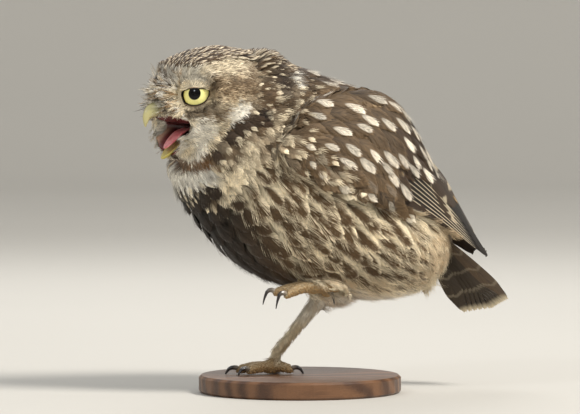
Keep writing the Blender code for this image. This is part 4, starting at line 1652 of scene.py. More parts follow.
class Mouth:
    """The bill's two halves and the tongue."""

    UPPER = Horn("bill_upper", ((23.5, -4.0, 5.2, 4.4), (27, -3.9, 4.9, 4.4), (30.5, -4.2, 4.3, 4.2),
                                (34.4, -5.7, 3.2, 3.5), (36.8, -8.4, 2.0, 2.3), (37.5, -11.4, 1.05, 1.2),
                                (37.5, -13.6, 0.3, 0.3)), ridge=0.35)
    LOWER = Horn("bill_lower", ((16.4, -18.9, 6.6, 0.9), (20.4, -22.5, 5.6, 1.0), (24.4, -26.3, 3.9, 1.0),
                                (27.0, -28.7, 2.0, 0.8), (28.0, -29.6, 0.5, 0.35)), sag=0.32)
    TONGUE = Horn("tongue", ((12.5, -14.4, 3.6, 0.8), (17.0, -16.2, 4.6, 1.0), (21.0, -19.4, 4.2, 1.0),
                             (24.6, -22.8, 2.9, 0.7), (26.0, -24.4, 1.3, 0.35)), sag=0.16)

    def __init__(self, head: HeadFrame) -> None:
        """Keeps the head's frame."""
        self.head = head

    def build(self) -> None:
        """Adds the three pieces."""
        horn = HornFinish("bill_horn", hue(124, 124, 104), hue(192, 184, 130), (0.1, 0.75))
        self.UPPER.piece(self.head, horn.material(), "bill_horn")
        lower = HornFinish("bill_lower_horn", hue(168, 140, 84), hue(204, 188, 92), (0.1, 0.7))
        self.LOWER.piece(self.head, lower.material(), "bill_horn")
        flesh = FleshFinish("tongue_flesh", hue(244, 150, 156), hue(222, 104, 112))
        self.TONGUE.piece(self.head, flesh.material(), "mouth_flesh")


class ClawSet:
    """The eight claws, each a finer copy of its CAD node."""

    VOXEL = 0.24

    def build(self) -> None:
        """Adds the claws, pale where they leave the toe and dark to the tip."""
        horn = HornFinish("claw_horn", hue(150, 138, 122), hue(34, 29, 30), (0.05, 0.55)).material()
        pale = HornFinish("claw_horn_pale", hue(196, 178, 150), hue(120, 104, 88), (0.4, 1.0)).material()
        for node in CLAWS:
            points, quads = voxel_shell(f"{node}_form", (node,), self.VOXEL, 0.0)
            points = relax(points, both_ways(quads), 3, 0.5, 0.4)
            toe = np.array(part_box(node.replace("claw", "toe"))).mean(axis=0) / MM
            root = points[np.linalg.norm(points - toe, axis=1).argmin()]
            run = np.linalg.norm(points - root, axis=1)
            flat = np.stack([points[:, 1] / 6 % 1.0, run / run.max()], axis=1)
            mesh = make_mesh(node, points, quads, maps={"run": flat})
            add_piece(f"{node}_horn", mesh, pale if node == "claw_left_4" else horn, (node,))


class Plumage:
    """A group of tracts of one coat."""

    def __init__(self, coat: Coat) -> None:
        """Keeps the coat and what the tracts ask of it."""
        self.coat, self.skin, self.head = coat, coat.skin, coat.skin.head
        self.paint, self.lay, self.scatter = coat.paint, coat.lay, coat.skin.scatter


class HeadCoat(Plumage):
    """The head's feathers: crown, face, chin, neck and the bristles round the bill."""

    RIM = np.array(((116, -52), (121, -49), (128, -45), (138.5, -37), (143, -27), (147, -24.5), (155, -24),
                    (163, -24), (170, -24)), float)

    def __init__(self, coat: Coat, eyes: list[Eye]) -> None:
        """Keeps what the tracts share."""
        super().__init__(coat)
        self.eyes = eyes

    def bare(self, sites: Sites) -> Array:
        """Where nothing grows: eyes, mouth and the bill's root."""
        forward, aside, up = sites.forward, np.abs(sites.local[:, 1]), sites.up
        bill = (forward > 24) & (aside < 3.4) & (np.abs(up + 5.0) < 3.8)
        inner = sites.normals @ self.head.turned(UP) * np.where(up > -12.5, -1, 1) > 0.45
        cut = inner & (forward > 10) & (aside < 15) & (up < -5) & (up > -20)
        wet = self.skin.wet(sites.points) > 0.25
        return wet | cut | bill | np.any([e.covers(sites.local) for e in self.eyes], 0)

    def face(self, sites: Sites) -> Array:
        """Which places are in front of the facial disc's rim and under the crown."""
        rim = np.interp(sites.high, self.RIM[:, 0], self.RIM[:, 1])
        rim = rim + 9.0 * value_noise(sites.points, 1.7, 5) - 3.5
        under = sites.over(Markings.CROWN_EDGE) < 2.0
        return (sites.across < rim) & under & (sites.high > 112)

    def crown(self, sites: Sites) -> Array:
        """Which places are on the crown."""
        return (sites.over(Markings.CROWN_EDGE) > 0) & (sites.across < 6)

    def rest(self, sites: Sites) -> Array:
        """Which places are on neither crown nor face and not bare."""
        return ~self.crown(sites) & ~self.face(sites) & ~self.bare(sites)

    def eye_gap(self, sites: Sites) -> Array:
        """How far each place is from the nearer eyeball."""
        folded = sites.local * (1, 0, 1) + np.abs(sites.local) * (0, 1, 0)
        return np.linalg.norm(folded - self.head.eye_left, axis=1) - self.head.eye_radius

    def build(self) -> None:
        """Adds the head's tracts."""
        self.top()
        self.disc()
        self.bristles()
        self.neck()

    def top(self) -> None:
        """The crown's small spotted feathers."""
        sites = self.scatter(HEAD, 1.6, 11)
        crown = sites.where(self.crown(sites) & ~self.bare(sites))
        tract = Tract("crown_feathers", Shape.vane(4, 4, belly=0.6, bow=0.3), (5.6, 7.4), (2.4, 3.1),
                      (0.1, 1.3), 9.0, steps=3, wrap=False)
        finish = FeatherFinish("crown_plumage", Pattern.SPOT, 0.64, 0.27, 0.42, 1.2, 0.6)
        small = 0.7 + 0.3 * ease(crown.forward, 27.0, 8.0)
        pale = tiled(hue(210, 193, 165), len(crown))
        self.lay(tract, crown, self.paint(crown, pale, 1, vary=0.24, rare=0.1, strength=(0.7, 1.0)),
                 finish.material(), 1, scale=small, lift=self.hollow(crown))

    def hollow(self, sites: Sites) -> Array:
        """How far the feathers behind the crown fluff up, so that head and nape make one line."""
        across, high = sites.chart.T
        return 3.0 * ease(across, -40.0, -30.0) * ease(across, -10.0, -20.0) * ease(high, 160.0, 168.0)

    def disc(self) -> None:
        """The face's fine locks, shortest round the eyes, each a mix of dark and pale blades."""
        sites = self.scatter(HEAD, 0.7, 12)
        face = sites.where(self.face(sites) & ~self.bare(sites))
        gap = self.eye_gap(face)
        small = 0.46 + 0.54 * ease(gap, 0.5, 6.5)
        small *= 1 - 0.25 * ease(face.over(Markings.CROWN_EDGE), -6.0, -2.0)
        lores = (face.forward > 20) & (face.up > -9) & (face.up < 14)
        chin = face.up < -24
        dark = np.where(lores[:, None], Hue.DARK.value, Hue.BROWN.value)
        ground = self.coat.ground(face)
        plain = 1 - 0.75 * ease(ground.mean(axis=1), 0.62, 0.82)
        cloud = ease(value_noise(face.points, 1.6, 9), 0.45, 0.7)
        streak = (rng(47).random(len(face)) < 0.15 + 0.4 * cloud) * 0.85 * plain
        colours = self.paint(face, dark, 2, vary=0.2, strength=(0.0, 1.0), rare=0.4,
                             ground=blend(ground, dark, streak))
        colours.strength *= plain
        finish = FeatherFinish("face_plumage", Pattern.TIP, 0.6, 0.3, 0.4, 1.0, 0.5, shaft=0.0)
        shape = Shape.lock(4, thin=0.2, seed=1)
        self.lay(Tract("face_feathers", shape, (5.0, 7.4), (1.6, 2.4), (0.05, 1.5), 13.0, steps=3,
                       wrap=False), face, colours, finish.material(), 2,
                 scale=small * np.where(chin, 1.25, 1.0))
        for eye in self.eyes:
            lid = eye.lid_sites()
            ways = eye.lid_ways(lid)
            lid.normals = unit(lid.normals - ways * dot(lid.normals, ways))
            colours = self.paint(lid, Hue.BROWN, 31, vary=0.2, strength=(0.0, 0.9), rare=0.5)
            self.lay(Tract(f"lid_feathers_{eye.side}", Shape.lock(2, thin=0.3, seed=8), (3.4, 5.2),
                           (1.6, 2.4), (0.1, 0.3), 12.0, free=1.0, steps=1, wrap=False), lid, colours,
                     finish.material(), 31, ways=ways)

    def bristles(self) -> None:
        """Long bristles: over the bill's root and beside the open mouth."""
        sites = self.scatter(HEAD, 1.0, 13)
        u = sites.up
        front = sites.where(self.face(sites) & ~self.bare(sites) & (sites.forward > 22.0) & (u > -10)
                            & (u < 13))
        small = (0.6 + 0.4 * ease(front.up, 10.0, 1.0)) * (1 - 0.5 * ease(front.up, -2.0, -7.0))
        shades = np.array([tone.value for tone in (Hue.WHITE, Hue.WHITE, Hue.CREAM, Hue.TAN, Hue.DARK)])
        ground = shades[rng(40).integers(0, len(shades), len(front))]
        colours = self.paint(front, Hue.DARK, 3, vary=0.2, strength=(0.0, 0.8), rare=0.5, ground=ground)
        finish = FeatherFinish("bristle_plumage", Pattern.TIP, 0.55, 0.3, 0.4, 0.8, shaft=0.0)
        self.lay(Tract("lore_bristles", Shape.lock(3, thin=0.13, seed=2), (9.0, 15.0), (1.4, 2.3), (0.3, 3.6),
                       16.0, free=0.9, steps=4, wrap=False), front, colours, finish.material(), 3,
                 scale=small)
        aside = np.abs(sites.local[:, 1])
        edge = (aside > 7.5) & (aside < 17) & (u < -15) & (u > -26) & (sites.forward > 13)
        edge &= ~self.bare(sites) & self.face(sites) & (rng(48).random(len(sites)) < 0.5)
        far = (sites.local[:, 1] < -11.5) & (aside < 17) & (u < -4) & (u > -26) & (sites.forward > 14)
        edge = sites.where(edge | far & (self.skin.wet(sites.points) < 0.25))
        colours = self.paint(edge, Hue.TAN, 32, vary=0.16, strength=(0.0, 0.5), rare=0.5,
                             ground=tiled(hue(230, 224, 210), len(edge)))
        out = np.stack([np.ones(len(edge)), np.sign(edge.local[:, 1]) * 0.25, np.full(len(edge), -0.85)],
                       axis=1)
        self.lay(Tract("mouth_bristles", Shape.lock(6, thin=0.1, seed=9), (5.0, 8.5), (1.8, 2.8), (0.2, 1.0),
                       16.0, free=0.8, steps=3, wrap=False, slot="pale_plumage"), edge, colours,
                 finish.material(), 32, ways=self.head.turned(out))

    def neck(self) -> None:
        """Nape, sides of the neck and throat: scales of brown with cream ends, small above and large
        below."""
        sites = self.scatter((*HEAD, "trunk"), 2.2, 14)
        rest = self.rest(sites) & (np.linalg.norm(sites.local, axis=1) < 50)
        coarse = ease(sites.high, 160.0, 132.0) * ease(sites.across, -56.0, -36.0)
        draw = rng(41).random(len(sites))
        fine = sites.where(rest & (draw > coarse * 0.8) & ~sites.on("trunk"))
        small = 0.72 + 0.4 * ease(fine.high, 160.0, 130.0)
        self.lay(Tract("nape_feathers", Shape.vane(4, 5, bow=0.3, fray=0.12), (8.0, 10.0), (3.6, 4.8),
                       (0.2, 1.9), 11.0, steps=4), fine, self.mottled(fine, 4, Hue.CREAM),
                 FeatherFinish("nape_plumage", Pattern.SPOT, 0.76, 0.25, 0.55, 1.4, 0.9).material(), 4,
                 scale=small, lift=self.hollow(fine))
        sites = self.scatter((*HEAD, "trunk", *WINGS), 2.9, 16)
        rest = self.rest(sites) & (np.linalg.norm(sites.local, axis=1) < 50)
        rest &= ~sites.on(*WINGS)
        coarse = ease(sites.high, 160.0, 140.0) * ease(sites.across, -56.0, -40.0)
        draw = rng(42).random(len(sites))
        over = sites.over(Markings.WING_EDGE)
        shoulder = (np.abs(over + 6.0) < 9.0) & (sites.across < 20) & (sites.across > -30) & (draw < 0.8)
        white = self.coat.ground(sites).mean(axis=1) > 0.78
        large = sites.where((rest & (draw < coarse) | shoulder) & ~white)
        self.lay(Tract("neck_feathers", Shape.vane(5, 6, bow=0.34, fray=0.1), (9.5, 12.5), (5.6, 7.4),
                       (0.3, 2.3), 11.0, steps=4), large, self.mottled(large, 33, Hue.CREAM),
                 FeatherFinish("neck_plumage", Pattern.SPOT, 0.86, 0.2, 0.5, 1.8, 1.3, barbs=8.0).material(),
                 33)
        self.lay(Tract("neck_locks", Shape.lock(12, thin=0.065, start=0.6, seed=11), (10.0, 14.0), (5.6, 7.4),
                       (0.8, 3.0), 12.0, steps=4, wrap=False), large, self.mottled(large, 33, Hue.CREAM),
                 FeatherFinish("neck_lock_plumage", Pattern.SPOT, 0.84, 0.24, 0.5, 1.6, 1.3,
                               shaft=0.0).material(), 36)
        sites = self.scatter(HEAD, 1.6, 15)
        tufts = sites.where(self.rest(sites))
        self.lay(Tract("nape_tufts", Shape.lock(8, thin=0.06, seed=3), (7.5, 10.5), (3.0, 4.4), (0.6, 2.3),
                       12.0, steps=4, wrap=False), tufts, self.mottled(tufts, 5, Hue.DARK),
                 FeatherFinish("nape_tuft_plumage", Pattern.TIP, 0.5, 0.3, 0.25, 1.0, shaft=0.0).material(),
                 5, lift=self.hollow(tufts))

    def mottled(self, sites: Sites, seed: int, mark: Hue) -> Paint:
        """The markings' ground turned brown in soft clouds, except on the throat."""
        ground = self.coat.ground(sites)
        cloud = value_noise(sites.points, 6.0, 7)[:, None]
        pale = ground.mean(axis=1, keepdims=True)
        throat = ease(sites.local[:, 0:1], -6.0, 6.0) * ease(pale, 0.2, 0.45)
        share = (0.6 + 0.38 * ease(cloud, 0.3, 0.6)) * (1 - throat) * (1 - ease(pale, 0.8, 0.86))
        ground = blend(ground, Hue.BROWN, share * ease(pale, 0.05, 0.3))
        return self.paint(sites, mark, seed, ground=ground, vary=0.2, strength=(0.3, 1.0), rare=0.25)


class BodyCoat(Plumage):
    """The body's feathers: staggered rings on the back, lines along the lie on breast and flanks."""

    COLUMNS = 32

    def rings(self, along: float, across: float | None, shift: float, seed: int) -> tuple[Sites, Array]:
        """Places in rings round the axis.

        Args:
            along: Distance between rings.
            across: Distance between the places of a ring, each ring turned by half a step from the last. With
                none, every ring has the same number of places, in columns that run down at 46 degrees.
            shift: How far each is moved at random.
            seed: The draw's seed.

        Returns:
            The places on the skin, and each one's distance to its neighbours in the ring.
        """
        draw = rng(seed)
        skin = self.skin
        line = through(np.array(Lie.BODY.knots, float), 400)
        run = np.concatenate([[0], np.cumsum(np.linalg.norm(np.diff(line, axis=0), axis=1))])
        parts, gaps, drift = [], [], 0.0
        for number, reach in enumerate(np.arange(0.0, run[-1], along)):
            x, z = np.interp(reach, run, line[:, 0]), np.interp(reach, run, line[:, 1])
            way = unit(np.array([np.interp(reach + 4, run, line[:, k]) - np.interp(reach - 4, run, line[:, k])
                                 for k in range(2)]))
            over, side, centre = np.array((-way[1], 0, way[0])), np.array((0, 1.0, 0)), np.array((x, 0, z))

            def shot(angle: Array) -> tuple[Array, Array, Array]:
                """The outermost skin at each angle round the axis."""
                ways = np.cos(angle)[:, None] * over + np.sin(angle)[:, None] * side
                return skin.surface.cast(centre + ways * 130.0, -ways)

            places, _, faces = shot(np.linspace(0, 2 * math.pi, 12, endpoint=False))
            radius = np.linalg.norm(places - centre, axis=1)[faces >= 0].mean()
            count = max(int(round(2 * math.pi * radius / across)), 3) if across else self.COLUMNS
            angle = (np.arange(count) + (0.5 * (number % 2) if across else 0.0)) / count * 2 * math.pi
            if across is None:
                drift += along * math.tan(math.atan2(way[1], way[0]) + math.radians(46)) / radius
                half = (drift + np.arange(count // 2) * 2 * math.pi / count) % math.pi
                angle = np.sort(np.concatenate([half, 2 * math.pi - half]))
            places, _, faces = shot(angle + draw.uniform(-shift, shift, count) / radius)
            hit = faces >= 0
            gap = np.linalg.norm(places - np.roll(places, 1, axis=0), axis=1)
            gaps.append(np.clip(gap, 5.0, 9.5)[hit])
            parts.append(skin.surface.nearest(places[hit] + draw.uniform(-shift, shift, (hit.sum(), 3))))
        return skin.sites(*(np.concatenate(rows) for rows in zip(*parts))), np.concatenate(gaps)

    def back(self, sites: Sites) -> Array:
        """Which places are on the wings or the back."""
        above = sites.over(Markings.WING_EDGE) > 0
        return above & sites.on("trunk", "neck", *WINGS) & self.off_head(sites)

    def quills(self, sites: Sites) -> Array:
        """Which places are under the wings' long feathers."""
        behind = sites.across > Markings.QUILL_EDGE[0, 0]
        return sites.on(*WINGS) & behind & (sites.over(Markings.QUILL_EDGE) < 0)

    def off_head(self, sites: Sites) -> Array:
        """Which places are behind the head and neck."""
        return (np.linalg.norm(sites.local, axis=1) > 43.0) & ~sites.on(*FEET) & ~sites.on("head", "jaw")

    def build(self) -> None:
        """Adds the body's tracts."""
        self.upper()
        self.lower()
        self.fluff()
        self.legs()

    def upper(self) -> None:
        """Back and wing coverts: large spotted feathers over smaller plain ones."""
        sites, _ = self.rings(9.4, 8.6, 1.2, 21)
        back = sites.where(self.back(sites) & ~self.quills(sites))
        small = 0.62 + 0.38 * ease(back.across, -30.0, 15.0)
        colours = self.paint(back, hue(228, 219, 202), 64, vary=0.16, rare=0.12, strength=(0.85, 1.0))
        low = ease(back.over(Markings.WING_EDGE), 9.0, 4.0) * ease(back.across, 15.0, 30.0)
        colours.strength *= 1 - low
        spot = FeatherFinish("back_plumage", Pattern.SPOT, 0.73, 0.24, 0.36, 2.2, 0.7, depth=0.4, barbs=13.0,
                             fringe=0.4, slant=0.5)
        self.lay(Tract("back_feathers", Shape.vane(8, 7, belly=0.6, bow=0.26, fray=0.06), (18.5, 21.5),
                       (10.0, 12.0), (0.2, 1.5), 7.0, steps=6), back, colours, spot.material(), 64,
                 scale=small)
        soft = replace(spot, name="back_lock_plumage", shaft=0.0, barbs=9.0)
        self.lay(Tract("back_locks", Shape.lock(34, thin=0.026, start=0.75, seed=12, curl=0.06), (18.5, 21.5),
                       (10.0, 12.0), (0.4, 1.9), 7.0, steps=6), back, colours, soft.material(), 64,
                 scale=small)
        sites, _ = self.rings(4.6, 4.6, 1.2, 22)
        under = sites.where(self.back(sites) & ~self.quills(sites))
        colours = self.paint(under, Hue.BUFF, 7, vary=0.16, rare=0.7, strength=(0.2, 0.7))
        plain = FeatherFinish("back_under_plumage", Pattern.SPOT, 0.8, 0.12, 0.3, 1.5, 0.5)
        self.lay(Tract("back_under_feathers", Shape.vane(4, 5, belly=0.6, bow=0.26, fray=0.1), (12.0, 15.0),
                       (6.0, 7.5), (0.1, 0.9), 9.0, steps=5), under, colours, plain.material(), 7)

    def lower(self) -> None:
        """Breast and flanks: vanes with a brown streak and soft locks over them, in lines along the lie."""
        sites, gap = self.rings(6.6, None, 0.7, 23)
        keep = ~self.back(sites) & self.off_head(sites) & ~sites.on("thigh_right", "tarsus_right")
        low = sites.over(Markings.FLUFF_EDGE) < 0
        keep &= (~self.quills(sites) & ~(sites.on(*WINGS) & (sites.across > 46))) | (sites.on(*WINGS) & low)
        front, gap = sites.where(keep), gap[keep]
        size = 0.55 + 0.45 * ease(front.across, -50.0, -8.0)
        belly = np.maximum(ease(front.high, 64.0, 55.0) * ease(front.across, -25.0, -5.0),
                           ease(front.across, 45.0, 68.0))
        # Partly painted shade: low on the breast's front the streaks turn black, widen and strengthen, for
        # the dark brown there and the shade under it.
        dark = ease(front.across + 0.45 * (front.high - 80.0), -8.0, -38.0)
        ground = self.coat.ground(front)
        band = ease(ground.mean(axis=1), 0.6, 0.8) * ease(front.high, 98.0, 103.0) * ease(front.across, -42.0,
            -46.0)
        streaks = blend(tiled(Hue.BROWN, len(front)), Hue.BLACK, 0.85 * dark)
        colours = self.paint(front, streaks, 8, vary=0.1, ground=ground)
        colours.strength = (0.95 + 0.9 * dark) * (1 - belly) * rng(43).uniform(0.75, 1.2, len(front))
        colours.strength *= 1 - 0.9 * band
        width = gap / 7.6
        over = front.over(Markings.WING_EDGE)
        loose = (over < -10.0) | (front.across > 64) | (front.across < -24)
        vanes = loose & (band < 0.3)
        streak = FeatherFinish("flank_plumage", Pattern.STREAK, 0.6, 0.34, 0.40, 1.3, 0.9, depth=0.45)
        self.lay(Tract("flank_feathers", Shape.vane(6, 6, belly=0.65, bow=0.34, fray=0.12), (19.0, 23.0),
                       (9.5, 11.0), (0.3, 2.1), 6.0, free=0.2, steps=6), front.where(vanes),
                 colours.where(vanes), streak.material(), 8, scale=size[vanes], widen=(width / size)[vanes])
        soft = FeatherFinish("flank_lock_plumage", Pattern.STREAK, 0.6, 0.32, 0.40, 1.3, 0.9, shaft=0.0,
                             depth=0.45)
        self.lay(Tract("flank_locks", Shape.lock(26, thin=0.028, start=0.6, seed=4), (19.0, 24.0),
                       (9.5, 11.5), (0.7, 2.6), 8.0, free=0.25, steps=6, wrap=False), front.where(loose),
                 colours.where(loose), soft.material(), 9, scale=size[loose], widen=(width / size)[loose])
        edge = front.where(~loose)
        brown = blend(tiled(Hue.MANTLE, len(edge)), Hue.TAN, 0.16 * value_noise(edge.points, 7.0, 12))
        colours = self.paint(edge, hue(236, 226, 206), 37, vary=0.16, ground=brown, strength=(0.7, 1.0),
                             rare=0.15)
        spot = FeatherFinish("wing_edge_plumage", Pattern.SPOT, 0.8, 0.22, 0.46, 2.0, 1.0, depth=0.4,
                             barbs=8.0, fringe=0.3)
        self.lay(Tract("wing_edge_feathers", Shape.vane(6, 6, belly=0.65, bow=0.34, fray=0.12), (13.5, 17.0),
                       (8.0, 10.0), (0.5, 2.4), 7.0, free=0.6, steps=6, wrap=False), edge, colours,
                 spot.material(), 37)
        soft = replace(spot, name="wing_edge_lock_plumage", shaft=0.0)
        self.lay(Tract("wing_edge_locks", Shape.lock(26, thin=0.03, start=0.7, seed=13, curl=0.06),
                       (13.5, 17.0), (8.0, 10.0), (0.7, 2.8), 7.0, free=0.6, steps=6, wrap=False), edge,
                 colours, soft.material(), 37)

    def fluff(self) -> None:
        """Belly, vent and thighs: loose locks, cream to white."""
        sites = self.scatter(("trunk", *THIGHS), 2.6, 24)
        low = np.maximum(ease(sites.high, 70.0, 60.0) * ease(sites.across, -20.0, 0.0),
                         ease(sites.across, 44.0, 60.0)) > 0.4
        fluff = sites.where((low | sites.on(*THIGHS)) & ~self.back(sites))
        colours = self.paint(fluff, Hue.TAN, 10, vary=0.17, strength=(0.0, 0.6))
        down = FeatherFinish("belly_plumage", Pattern.TIP, 0.2, 0.3, 0.4, 2.2, shaft=0.0, depth=0.4)
        self.lay(Tract("belly_locks", Shape.lock(20, thin=0.03, fan=0.9, seed=5), (13.0, 18.0), (5.5, 7.5),
                       (0.4, 2.6), 11.0, free=0.3, steps=5, wrap=False, slot="pale_plumage"), fluff, colours,
                 down.material(), 10)

    def legs(self) -> None:
        """The leg's short locks and the toes' bristles."""
        down = FeatherFinish("leg_plumage", Pattern.TIP, 0.2, 0.3, 0.4, 0.8, shaft=0.0)
        sites = self.scatter(("tarsus_right", "thigh_right"), 1.3, 25)
        leg = sites.where(sites.points[:, 2] < 52)
        colours = self.paint(leg, Hue.TAN, 11, vary=0.08, strength=(0.0, 0.5))
        self.lay(Tract("leg_feathers", Shape.lock(4, thin=0.14, seed=6), (4.0, 5.5), (1.8, 2.6), (0.1, 1.1),
                       12.0, steps=3, wrap=False, slot="pale_plumage"), leg, colours, down.material(), 11,
                 ways=np.tile((-0.35, 0.0, -1.0), (len(leg), 1)))
        sites = self.scatter(FEET, 1.0, 26)
        toes = sites.where(sites.normals[:, 2] > -0.1)
        colours = self.paint(toes, Hue.CREAM, 12, vary=0.15, strength=(0.2, 0.9))
        feet = self.coat.unwrap.feet
        outward = toes.points - np.where(toes.points[:, 1:2] < -10, feet[0], feet[1])
        self.lay(Tract("toe_bristles", Shape.lock(2, thin=0.18, seed=7), (1.6, 2.6), (0.6, 1.0), (0.0, 0.45),
                       16.0, steps=2, wrap=False, slot="foot_skin"), toes, colours, down.material(), 12,
                 ways=unit(outward))


class WingQuills(Plumage):
    """The long feathers of the folded wings, over a smooth sheet fitted to the CAD wing's outer face."""

    PRIMARIES, TERTIALS = 7, 4
    REACH = 32.0

    def outline(self, part: float) -> tuple[Array, Array]:
        """Root and tip of the feather at this share of the way from the longest to the last, as x and z."""
        root = np.array((46 + 4 * part, 105.0 + 16 * part))
        tip = np.array((97.2 - 5.0 * part - 9.0 * part**2, 69.4 + 6.0 * part + 13.0 * part**2))
        return root, tip

    def sheet(self, side: str) -> Array:
        """Ten factors of the cubic in x and z that fits the wing's outer face behind the shoulder."""
        points, triangles, _ = welded((f"wing_{side}",))
        normals = point_normals(points, triangles)
        sign = -1.0 if side == "left" else 1.0
        outer = (normals[:, 1] * sign > 0.35) & (points[:, 0] > self.REACH)
        return np.linalg.lstsq(self.terms(points[outer][:, (0, 2)]), points[outer, 1] * sign, rcond=None)[0]

    @staticmethod
    def terms(flat: Array) -> Array:
        """The ten products of x and z up to the third power, both scaled to about one."""
        x, z = (flat[..., 0] - 65) / 30, (flat[..., 1] - 95) / 30
        return np.stack([x**i * z**j for i in range(4) for j in range(4 - i)], axis=-1)

    def build(self) -> None:
        """Adds each wing's narrow edge feathers and the broad notched ones over them."""
        edge = FeatherFinish("quill_plumage", Pattern.EDGE, breadth=0.085, contrast=0.7, wobble=0.3,
                             shaft=0.3, roughness=0.5, depth=0.0)
        notch = FeatherFinish("tertial_plumage", Pattern.NOTCH, reach=0.3, contrast=1.1, wobble=1.0,
                              shaft=0.3, roughness=0.55, tip=0.5, depth=0.1)
        slim = Shape.vane(8, 16, belly=0.35, foot=0.8, bow=0.12, fray=0.0, camber=0.02)
        broad = Shape.vane(8, 14, belly=0.4, foot=0.7, bow=0.22, fray=0.02, camber=0.04)
        parts = np.linspace(0.0, 1.0, self.PRIMARIES + self.TERTIALS)
        for side, sign in zip(SIDES, (-1.0, 1.0)):
            sheet = self.sheet(side)
            for name, shape, share, width, finish, tone in (("wing_quills", slim,
                    parts[:self.PRIMARIES] * 1.4, 7.5, edge, Hue.BLACK),
                    ("wing_tertials", broad, 0.62 + parts[:self.TERTIALS] * 1.5, 12.5, notch, Hue.DARK)):
                placed = np.stack([self.blade(shape, part, width, sheet, sign, number) for number,
                                   part in enumerate(share)])
                roots = self.skin.sites(*self.skin.surface.nearest(placed.mean(axis=1)))
                count = len(placed)
                ground = tiled(tone, count) * np.linspace(1.0, 0.8, count)[:, None]
                tint = Paint.of(ground, Hue.CREAM, 0.95 if tone is Hue.BLACK else 0.4)
                turned = replace(shape, quads=shape.quads[:, ::-1]) if sign < 0 else shape
                self.coat.join(f"{name}_{side}", placed, turned, roots, tint, finish.material(), rng(31))

    def blade(self, shape: Shape, part: float, width: float, sheet: Array, sign: float, number: int) -> Array:
        """One feather's points: along a chord that bows upward by a half sine, over the sheet, deeper at the
        root.

        Args:
            shape: The pattern.
            part: Its share of the way from the longest to the last.
            width: Its width.
            sheet: The sheet's factors.
            sign: -1 on the left and 1 on the right.
            number: Its place in the stack, lowest first.

        Returns:
            The points.
        """
        root, tip = self.outline(part)
        way = unit(tip - root)
        length = np.linalg.norm(tip - root)
        over = np.array((-way[1], way[0]))
        bow = 2.4 * np.sin(math.pi * shape.along)
        flat = root + way * (shape.along * length)[:, None] + over * (shape.across * width / 2 + bow)[:, None]
        deep = 1.7 * (1 - ease(shape.along, 0.25, 0.8))
        out = self.terms(flat) @ sheet + 0.10 * number - 0.35 - deep + shape.rise * width
        return np.stack([flat[:, 0], sign * out, flat[:, 1]], axis=1)


